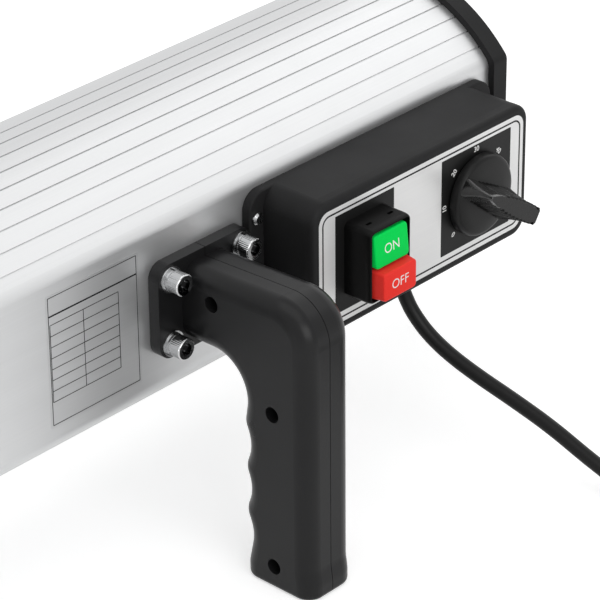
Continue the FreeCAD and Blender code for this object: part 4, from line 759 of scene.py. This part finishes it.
class DRYER_OT_lead(bpy.types.Operator):
    """Lay the mains lead from the gland to its plug, with its spare length in turns"""

    bl_idname = "dryer.lead"
    bl_label = "Lay the Lead"

    def execute(self, context):
        settings = context.scene.dryer_lead
        points = lead_points(settings)
        curve = bpy.data.curves.new("mains_lead", "CURVE")
        curve.dimensions = "3D"
        curve.bevel_depth = settings.radius
        curve.bevel_resolution = LEAD_STEPS
        curve.use_fill_caps = True
        spline = curve.splines.new("NURBS")
        spline.points.add(len(points) - 1)
        spline.points.foreach_set("co", np.column_stack([points, np.ones(len(points))]).ravel())
        spline.order_u = 3
        spline.use_endpoint_u = True
        spline.resolution_u = LEAD_STEPS
        curve.materials.append(bpy.data.materials["finish_cord_black"])
        lead = bpy.data.objects.new("mains_lead", curve)
        context.scene.collection.objects.link(lead)
        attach(lead, DRYER)
        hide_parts("power_cord", "cord_coil")
        return {"FINISHED"}


# Controls

def cap_form(settings, node):
    """A cap's sides, the depth of its face's lower edge, and how far its upper edge lies behind that."""
    left, right, bottom, top = sides_of(node)
    if node == "on_button":
        sides = (left, right - settings.on_right, bottom, top - settings.on_top)
        return sides, front_of(node), settings.on_slope
    return (left, right, bottom, top), front_of(node) - settings.off_proud, 0


def face_depth(heights, sides, edge, slope):
    """The depth of a cap's face at some heights: an even slope from its lower to its upper edge."""
    bottom, top = sides[2:]
    return edge + slope * (heights - bottom) / (top - bottom)


class DRYER_OT_button_caps(bpy.types.Operator):
    """Give the two push buttons rounded caps, the lower one standing well out"""

    bl_idname = "dryer.button_caps"
    bl_label = "Cap the Buttons"

    def execute(self, context):
        settings = context.scene.dryer_controls
        self.add_cap(settings, "on_button", 0)
        self.add_cap(settings, "off_button", settings.off_taper)
        return {"FINISHED"}

    def add_cap(self, settings, node, taper):
        """A cap: rings that round the face's edge by a quarter circle, then widen by the taper to the back.

        The face leans back from its lower to its upper edge. A round pocket in the back takes the spring.
        """
        sides, edge, slope = cap_form(settings, node)
        rings = []
        for inset, depth in edge_round(settings.cap_round, settings.cap_round, CAP_STEPS):
            outline = drawn_in(sides, taper + inset, settings.cap_corner)
            rings.append(ring_at(outline, face_depth(outline[:, 1], sides, edge, slope) + depth))
        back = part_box(node)[1][1]
        rings.append(ring_at(rounded_outline(*sides, settings.cap_corner), back))
        spring = middle_of(node.replace("button", "spring"))
        pocket = square_about(spring[[0, 2]], settings.pocket_radius, settings.pocket_radius)
        rings.append(ring_at(pocket, back))
        rings.append(ring_at(pocket, back - settings.pocket_depth))
        slot = CAP_SLOTS[node]
        cap = add_piece(node + "_cap", *lofted(rings), slot, node, slot)
        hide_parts(node)


class DRYER_OT_knob(bpy.types.Operator):
    """Put the fluted pointer knob on the timer's shaft"""

    bl_idname = "dryer.knob"
    bl_label = "Put on the Knob"

    def execute(self, context):
        settings = context.scene.dryer_controls
        axis = middle_of("timer_shaft")
        axis[1] = front_of("panel_plate")
        disc = add_piece("knob_disc", *self.turned_disc(axis), "knob_black", "timer", "knob_black")
        vertices, faces, gloss = self.fluted_blade(settings, axis)
        blade = add_piece("knob_blade", vertices, faces, "blade_black", "timer", "knob_black")
        blade.data.attributes.new(RIDGE_GLOSS, "FLOAT", "POINT").data.foreach_set("value", gloss)
        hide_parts("timer_knob")
        return {"FINISHED"}

    def turned_disc(self, axis):
        """The disc: its section turned about the shaft, so each ring is a circle."""
        angle = np.linspace(0, 2 * math.pi, DISC_POINTS, endpoint=False)
        circle = np.column_stack([np.cos(angle), np.sin(angle)])
        rings = []
        for radius, height in KNOB_DISC:
            rings.append(ring_at(circle * radius * MM + axis[[0, 2]], axis[1] - height * MM))
        return lofted(rings)

    def fluted_blade(self, settings, axis):
        """The blade: rings from the crest's outline down to the foot's.

        The foot spreads out with the square of the depth under the crest. Each outline runs along the lower
        flank and back along the upper one, both drawn in by the depth of a flute times the size of a sine.
        The gloss of each point is greatest on the ridges between the flutes.
        """
        share = np.linspace(0, 1, BLADE_STEPS + 1)
        length = (CREST_ENDS[1] - CREST_ENDS[0]) * MM
        fade = np.clip((share - FLUTE_START) / (FLUTE_FULL - FLUTE_START), 0, 1)
        groove = fade * np.abs(np.sin(math.pi * share * length / settings.flute_pitch))
        cut = settings.flute_depth * groove
        crest = self.blade_outline(share, CREST_ENDS, np.interp(share, CREST_SHARE, CREST_HALF), cut)
        foot = self.blade_outline(share, FOOT_ENDS, np.interp(share, FOOT_SHARE, FOOT_HALF), cut)
        cos, sin = math.cos(settings.knob_pointer), math.sin(settings.knob_pointer)
        turn = np.array([(cos, sin), (-sin, cos)])
        rings = []
        edge = crest * (1 - CREST_EDGE / CREST_ENDS[1], 1 - CREST_EDGE / max(CREST_HALF))
        rings.append(ring_at(edge @ turn + axis[[0, 2]], axis[1] - CREST_HEIGHT * MM))
        for down in np.linspace(0, 1, BLADE_LEVELS):
            outline = crest + (foot - crest) * down ** 2
            height = CREST_HEIGHT - CREST_EDGE - (CREST_HEIGHT - CREST_EDGE - FOOT_HEIGHT) * down
            rings.append(ring_at(outline @ turn + axis[[0, 2]], axis[1] - height * MM))
        ridge = (1 - groove) ** 2
        flanks = np.tile(np.concatenate([ridge, ridge[::-1]]), BLADE_LEVELS)
        gloss = np.concatenate([np.full(len(crest), CREST_GLOSS), flanks])
        return *lofted(rings), gloss

    def blade_outline(self, share, ends, half, cut):
        """Places along the pointer and across it, along the lower flank and back along the upper one."""
        ahead = (ends[0] + (ends[1] - ends[0]) * share) * MM
        half = half * MM - cut
        lower = np.column_stack([ahead, -half])
        upper = np.column_stack([ahead, half])[::-1]
        return np.concatenate([lower, upper])


class DRYER_OT_collar(bpy.types.Operator):
    """Set the switch's rounded collar on the panel, with its contact block and, on top, two thin dark films
    that paint the shade of two recesses
    """

    bl_idname = "dryer.collar"
    bl_label = "Set the Collar"

    def execute(self, context):
        settings = context.scene.dryer_controls
        sides = sides_of("switch_body")
        front = front_of("switch_body")
        panel = front_of("panel_plate")
        inner_corner = settings.collar_corner - COLLAR_RIM
        well = drawn_in(sides, COLLAR_RIM, inner_corner)
        block = drawn_in(sides, COLLAR_RIM + BLOCK_STEP, inner_corner)
        rings = [ring_at(well, panel - WELL_FLOOR), ring_at(well, front + settings.collar_edge)]
        for inset, depth in edge_round(settings.collar_edge, settings.collar_round, EDGE_STEPS):
            rings.append(ring_at(drawn_in(sides, inset, settings.collar_corner - inset), front + depth))
        rings.append(ring_at(rounded_outline(*sides, settings.collar_corner), panel))
        rings.append(ring_at(block, panel))
        rings.append(ring_at(block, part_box("switch_body")[1][1]))
        collar = add_piece("switch_collar", *lofted(rings), "switch_black", slot="switch_black")
        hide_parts("switch_body")
        self.add_recess_shades(settings, sides, panel)
        return {"FINISHED"}

    def add_recess_shades(self, settings, sides, panel):
        """Painted shade for two recesses on the collar's upper side: thin dark rounded bars at two heights.
        """
        left, right, _, top = sides
        near = panel - settings.recess_shade_place
        half_length, half_width = settings.recess_shade_length / 2, settings.recess_shade_width / 2
        marks = []
        for side in (1, -1):
            place = (left + right) / 2 + side * settings.recess_shade_spacing / 2
            outline = rounded_outline(
                place - half_length, place + half_length, near - half_width, near + half_width,
                half_width / 2)
            levels = (top + RECESS_SHADE_FILM, top - RECESS_SHADE_FILM)
            rings = [np.column_stack([outline, np.full(len(outline), level)]) for level in levels]
            marks.append(lofted(rings))
        add_piece("collar_recess_shades", *joined(marks), "mark_black")


class DRYER_OT_bezel(bpy.types.Operator):
    """Frame the panel with a dark bezel on the control box"""

    bl_idname = "dryer.bezel"
    bl_label = "Frame the Panel"

    def execute(self, context):
        settings = context.scene.dryer_controls
        lap = settings.bezel_lap
        left, right, bottom, top = sides_of("control_box_shell")
        ear = EAR_WIDTH - lap
        sides = (left + ear, right - ear, bottom - lap, top + lap)
        front = front_of("panel_plate")
        back = front + settings.bezel_depth
        rings = []
        for inset, depth in edge_round(settings.bezel_round, settings.bezel_round, EDGE_STEPS):
            rings.append(ring_at(drawn_in(sides, inset, BOX_CORNER - inset), front + depth))
        rings.append(ring_at(rounded_outline(*sides, BOX_CORNER), back))
        inner = rounded_outline(*sides_of("panel_plate"), PANEL_CORNER)
        rings.append(ring_at(inner, back))
        rings.append(ring_at(inner, front))
        add_piece("panel_bezel", *lofted(rings, looped=True), "black_plastic", slot="black_plastic")
        return {"FINISHED"}


# Print and lettering

class DRYER_OT_panel_print(bpy.types.Operator):
    """Print the ring line and the dark fields on the control panel"""

    bl_idname = "dryer.panel_print"
    bl_label = "Print the Panel"

    def execute(self, context):
        settings = context.scene.dryer_print
        back = front_of("panel_plate")
        front = back - settings.film
        edges = []
        for inset in (settings.ring_inset, settings.ring_inset + settings.ring_width):
            corner = settings.ring_corner + settings.ring_inset - inset
            edges.append(drawn_in(sides_of("panel_plate"), inset, corner))
        add_piece("panel_ring", *film_band(*edges, back, front), "print_black")
        axis = middle_of("timer_shaft")
        half = settings.dial_side / 2
        corner = settings.field_corner
        dial = square_about(axis[[0, 2]], half, corner)
        free = square_about(axis[[0, 2]], settings.dial_hole, settings.dial_hole)
        add_piece("dial_field", *film_band(dial, free, back, front), "print_black")
        across = middle_of("switch_body")[0]
        reach = settings.switch_width / 2
        field = rounded_outline(across - reach, across + reach, axis[2] - half, axis[2] + half, corner)
        collar = drawn_in(sides_of("switch_body"), settings.collar_cover, corner)
        add_piece("switch_field", *film_band(field, collar, back, front), "print_black")
        return {"FINISHED"}


class DRYER_OT_dial_numbers(bpy.types.Operator):
    """Print the minutes round the dial"""

    bl_idname = "dryer.dial_numbers"
    bl_label = "Print the Dial Numbers"

    def execute(self, context):
        settings = context.scene.dryer_print
        axis = middle_of("timer_shaft")
        depth = front_of("panel_plate") - settings.film
        numbers = []
        for word, degrees in DIAL_NUMBERS:
            angle = math.radians(degrees)
            x = axis[0] + settings.number_radius * math.cos(angle)
            z = axis[2] + settings.number_radius * math.sin(angle)
            points, faces = word_mesh(word, settings.number_size, settings.number_weight, settings.film)
            numbers.append((laid_word(points, (x, z), depth, angle - math.pi / 2), faces))
        add_piece("dial_numbers", *joined(numbers), "print_white")
        return {"FINISHED"}


class DRYER_OT_button_words(bpy.types.Operator):
    """Print the words on the two push buttons, laid on the slope of their faces"""

    bl_idname = "dryer.button_words"
    bl_label = "Print the Button Words"

    def execute(self, context):
        settings = context.scene.dryer_print
        for word, node in (("ON", "on_button"), ("OFF", "off_button")):
            points, faces = word_mesh(word, settings.word_size, settings.word_weight, settings.film)
            sides, edge, slope = cap_form(context.scene.dryer_controls, node)
            left, right, bottom, top = sides
            room = ((right - left) / 2, (top - bottom) / 2)
            if np.any(np.abs(points[:, :2]) > room):
                raise RuntimeError("A word reaches past its button")
            middle = ((left + right) / 2, (bottom + top) / 2)
            depth = face_depth(middle[1] + points[:, 1], sides, edge, slope)
            add_piece(node + "_word", laid_word(points, middle, depth, 0), faces, "print_white", node)
        return {"FINISHED"}


class DRYER_OT_label(bpy.types.Operator):
    """Stick the blank rating label on the back wall, with its ruled table"""

    bl_idname = "dryer.label"
    bl_label = "Stick the Label"

    def execute(self, context):
        settings = context.scene.dryer_label
        film = context.scene.dryer_print.film
        wall = front_of("housing_extrusion")
        middle = middle_of("housing_extrusion")[2]
        left, right = settings.left, settings.left + settings.width
        bottom, top = middle - settings.height / 2, middle + settings.height / 2
        sides = (left, right, bottom, top)
        foil = rounded_outline(*sides, settings.corner)
        add_piece("rating_label", *film_plate(foil, wall, wall - film), "label_foil")
        insets = (settings.margin, settings.margin + settings.line)
        borders = [drawn_in(sides, inset, settings.line) for inset in insets]
        rules = [film_band(*borders, wall - film, wall - 2 * film)]
        half = settings.line / 2
        corner = half / 4
        table_left = left + settings.table_inset
        table_right = table_left + settings.table_width
        table_top = top - settings.table_drop
        table_bottom = table_top - settings.rows * settings.row_height
        margin = settings.margin
        bars = [(left + margin, right - margin, top - settings.header, settings.header_line / 2)]
        for row in range(settings.rows + 1):
            bars.append((table_left, table_right, table_top - row * settings.row_height, half))
        spans = [(start, end, height - thick, height + thick) for start, end, height, thick in bars]
        for x in (table_left, table_left + settings.divider, table_right):
            spans.append((x - half, x + half, table_bottom, table_top))
        for span in spans:
            rules.append(film_plate(rounded_outline(*span, corner), wall - film, wall - 2 * film))
        add_piece("label_rules", *joined(rules), "print_black")
        return {"FINISHED"}


# Stage

def camera_ray_share(tree):
    """One for rays from the camera, off gloss or through glass, and nothing for the rest."""
    path = tree.nodes.new("ShaderNodeLightPath")
    share = path.outputs["Is Camera Ray"]
    for name in ("Is Glossy Ray", "Is Transmission Ray"):
        share = add_math(tree, "MAXIMUM", share, path.outputs[name])
    return share


def add_lamp(name, place, width, height, power):
    """A soft lamp that looks at the dryer."""
    lamp = bpy.data.lights.new(name, "AREA")
    lamp.shape = "RECTANGLE"
    lamp.size = width
    lamp.size_y = height
    lamp.energy = power
    holder = bpy.data.objects.new(name, lamp)
    bpy.context.scene.collection.objects.link(holder)
    back = np.array(place) - np.array(LAMP_AIM)
    azimuth = math.atan2(back[0], -back[1])
    tilt = math.atan2(math.hypot(back[0], back[1]), back[2])
    turn = Matrix.Rotation(azimuth, 4, "Z") @ Matrix.Rotation(tilt, 4, "X")
    holder.matrix_world = Matrix.Translation(place) @ turn


class DRYER_OT_stage(bpy.types.Operator):
    """Set up the floor, the light and the camera"""

    bl_idname = "dryer.stage"
    bl_label = "Set the Stage"

    def execute(self, context):
        settings = context.scene.dryer_stage
        self.lay_floor(context, settings)
        self.light_world(context, settings)
        for name, values in LAMPS.items():
            add_lamp(name, *values)
        self.set_camera(context, settings)
        context.scene.view_settings.view_transform = "Standard"
        return {"FINISHED"}

    def lay_floor(self, context, settings):
        """A pale floor that keeps the shadow and glows a little for the camera."""
        half = settings.floor_half
        corners = [(-half, -half), (half, -half), (half, half), (-half, half)]
        mesh = bpy.data.meshes.new("floor")
        mesh.from_pydata([(x, y, CAD_BOX[0][2]) for x, y in corners], [], [[0, 1, 2, 3]])
        floor = bpy.data.objects.new("floor", mesh)
        context.scene.collection.objects.link(floor)
        material = bpy.data.materials.new("floor")
        material.use_nodes = True
        tree = material.node_tree
        tree.nodes.remove(tree.nodes["Principled BSDF"])
        paint = tree.nodes.new("ShaderNodeBsdfDiffuse")
        paint.inputs["Color"].default_value = (*settings.floor_colour, 1)
        glow = tree.nodes.new("ShaderNodeEmission")
        strength = add_math(tree, "MULTIPLY", camera_ray_share(tree), settings.glow)
        tree.links.new(strength, glow.inputs["Strength"])
        both = tree.nodes.new("ShaderNodeAddShader")
        tree.links.new(paint.outputs["BSDF"], both.inputs[0])
        tree.links.new(glow.outputs["Emission"], both.inputs[1])
        tree.links.new(both.outputs["Shader"], tree.nodes["Material Output"].inputs["Surface"])
        mesh.materials.append(material)

    def light_world(self, context, settings):
        """White for the camera, and plain soft light for the rest."""
        world = bpy.data.worlds.new("studio")
        world.use_nodes = True
        context.scene.world = world
        tree = world.node_tree
        soft = tree.nodes["Background"]
        soft.inputs["Color"].default_value = (1, 1, 1, 1)
        soft.inputs["Strength"].default_value = settings.world
        white = tree.nodes.new("ShaderNodeBackground")
        white.inputs["Color"].default_value = (1, 1, 1, 1)
        mix = tree.nodes.new("ShaderNodeMixShader")
        tree.links.new(camera_ray_share(tree), mix.inputs["Fac"])
        tree.links.new(soft.outputs["Background"], mix.inputs[1])
        tree.links.new(white.outputs["Background"], mix.inputs[2])
        tree.links.new(mix.outputs["Shader"], tree.nodes["World Output"].inputs["Surface"])

    def set_camera(self, context, settings):
        """A long lens at the picture's place and angle."""
        lens = bpy.data.cameras.new("camera")
        lens.lens = settings.lens
        lens.clip_end = CAMERA_REACH
        camera = bpy.data.objects.new("camera", lens)
        context.scene.collection.objects.link(camera)
        turn = Matrix.Rotation(settings.azimuth, 4, "Z")
        turn = turn @ Matrix.Rotation(math.pi / 2 - settings.elevation, 4, "X")
        turn = turn @ Matrix.Rotation(settings.roll, 4, "Z")
        camera.matrix_world = Matrix.Translation(settings.place) @ turn
        context.scene.camera = camera


# Sidebar and registration

OPERATORS = (
    DRYER_OT_finishes, DRYER_OT_lead, DRYER_OT_button_caps, DRYER_OT_knob, DRYER_OT_bezel, DRYER_OT_collar,
    DRYER_OT_panel_print, DRYER_OT_dial_numbers, DRYER_OT_button_words, DRYER_OT_label, DRYER_OT_stage,
)
SETTINGS = {
    "dryer_finishes": FinishSettings,
    "dryer_lead": LeadSettings,
    "dryer_print": PrintSettings,
    "dryer_controls": ControlSettings,
    "dryer_label": LabelSettings,
    "dryer_stage": StageSettings,
}


class DRYER_PT_sidebar(bpy.types.Panel):
    """Steps and sizes of the dressing"""

    bl_idname = "DRYER_PT_sidebar"
    bl_label = "Paint Dryer"
    bl_space_type = "VIEW_3D"
    bl_region_type = "UI"
    bl_category = "Dryer"

    def draw(self, context):
        for operator in OPERATORS:
            self.layout.operator(operator.bl_idname)
        for name, group in SETTINGS.items():
            box = self.layout.box()
            for key in group.__annotations__:
                box.prop(getattr(context.scene, name), key)


CLASSES = (*SETTINGS.values(), *OPERATORS, DRYER_PT_sidebar)


def register():
    """Make the settings, the steps and the sidebar known."""
    for kind in CLASSES:
        bpy.utils.register_class(kind)
    for name, group in SETTINGS.items():
        setattr(bpy.types.Scene, name, PointerProperty(type=group))


def unregister():
    """Take them away again."""
    for name in SETTINGS:
        delattr(bpy.types.Scene, name)
    for kind in reversed(CLASSES):
        bpy.utils.unregister_class(kind)


def main():
    """Dress the model step by step."""
    register()
    bpy.ops.dryer.finishes()
    bpy.ops.dryer.lead()
    bpy.ops.dryer.button_caps()
    bpy.ops.dryer.knob()
    bpy.ops.dryer.bezel()
    bpy.ops.dryer.collar()
    bpy.ops.dryer.panel_print()
    bpy.ops.dryer.dial_numbers()
    bpy.ops.dryer.button_words()
    bpy.ops.dryer.label()
    bpy.ops.dryer.stage()


if __name__ == "__main__":
    main()
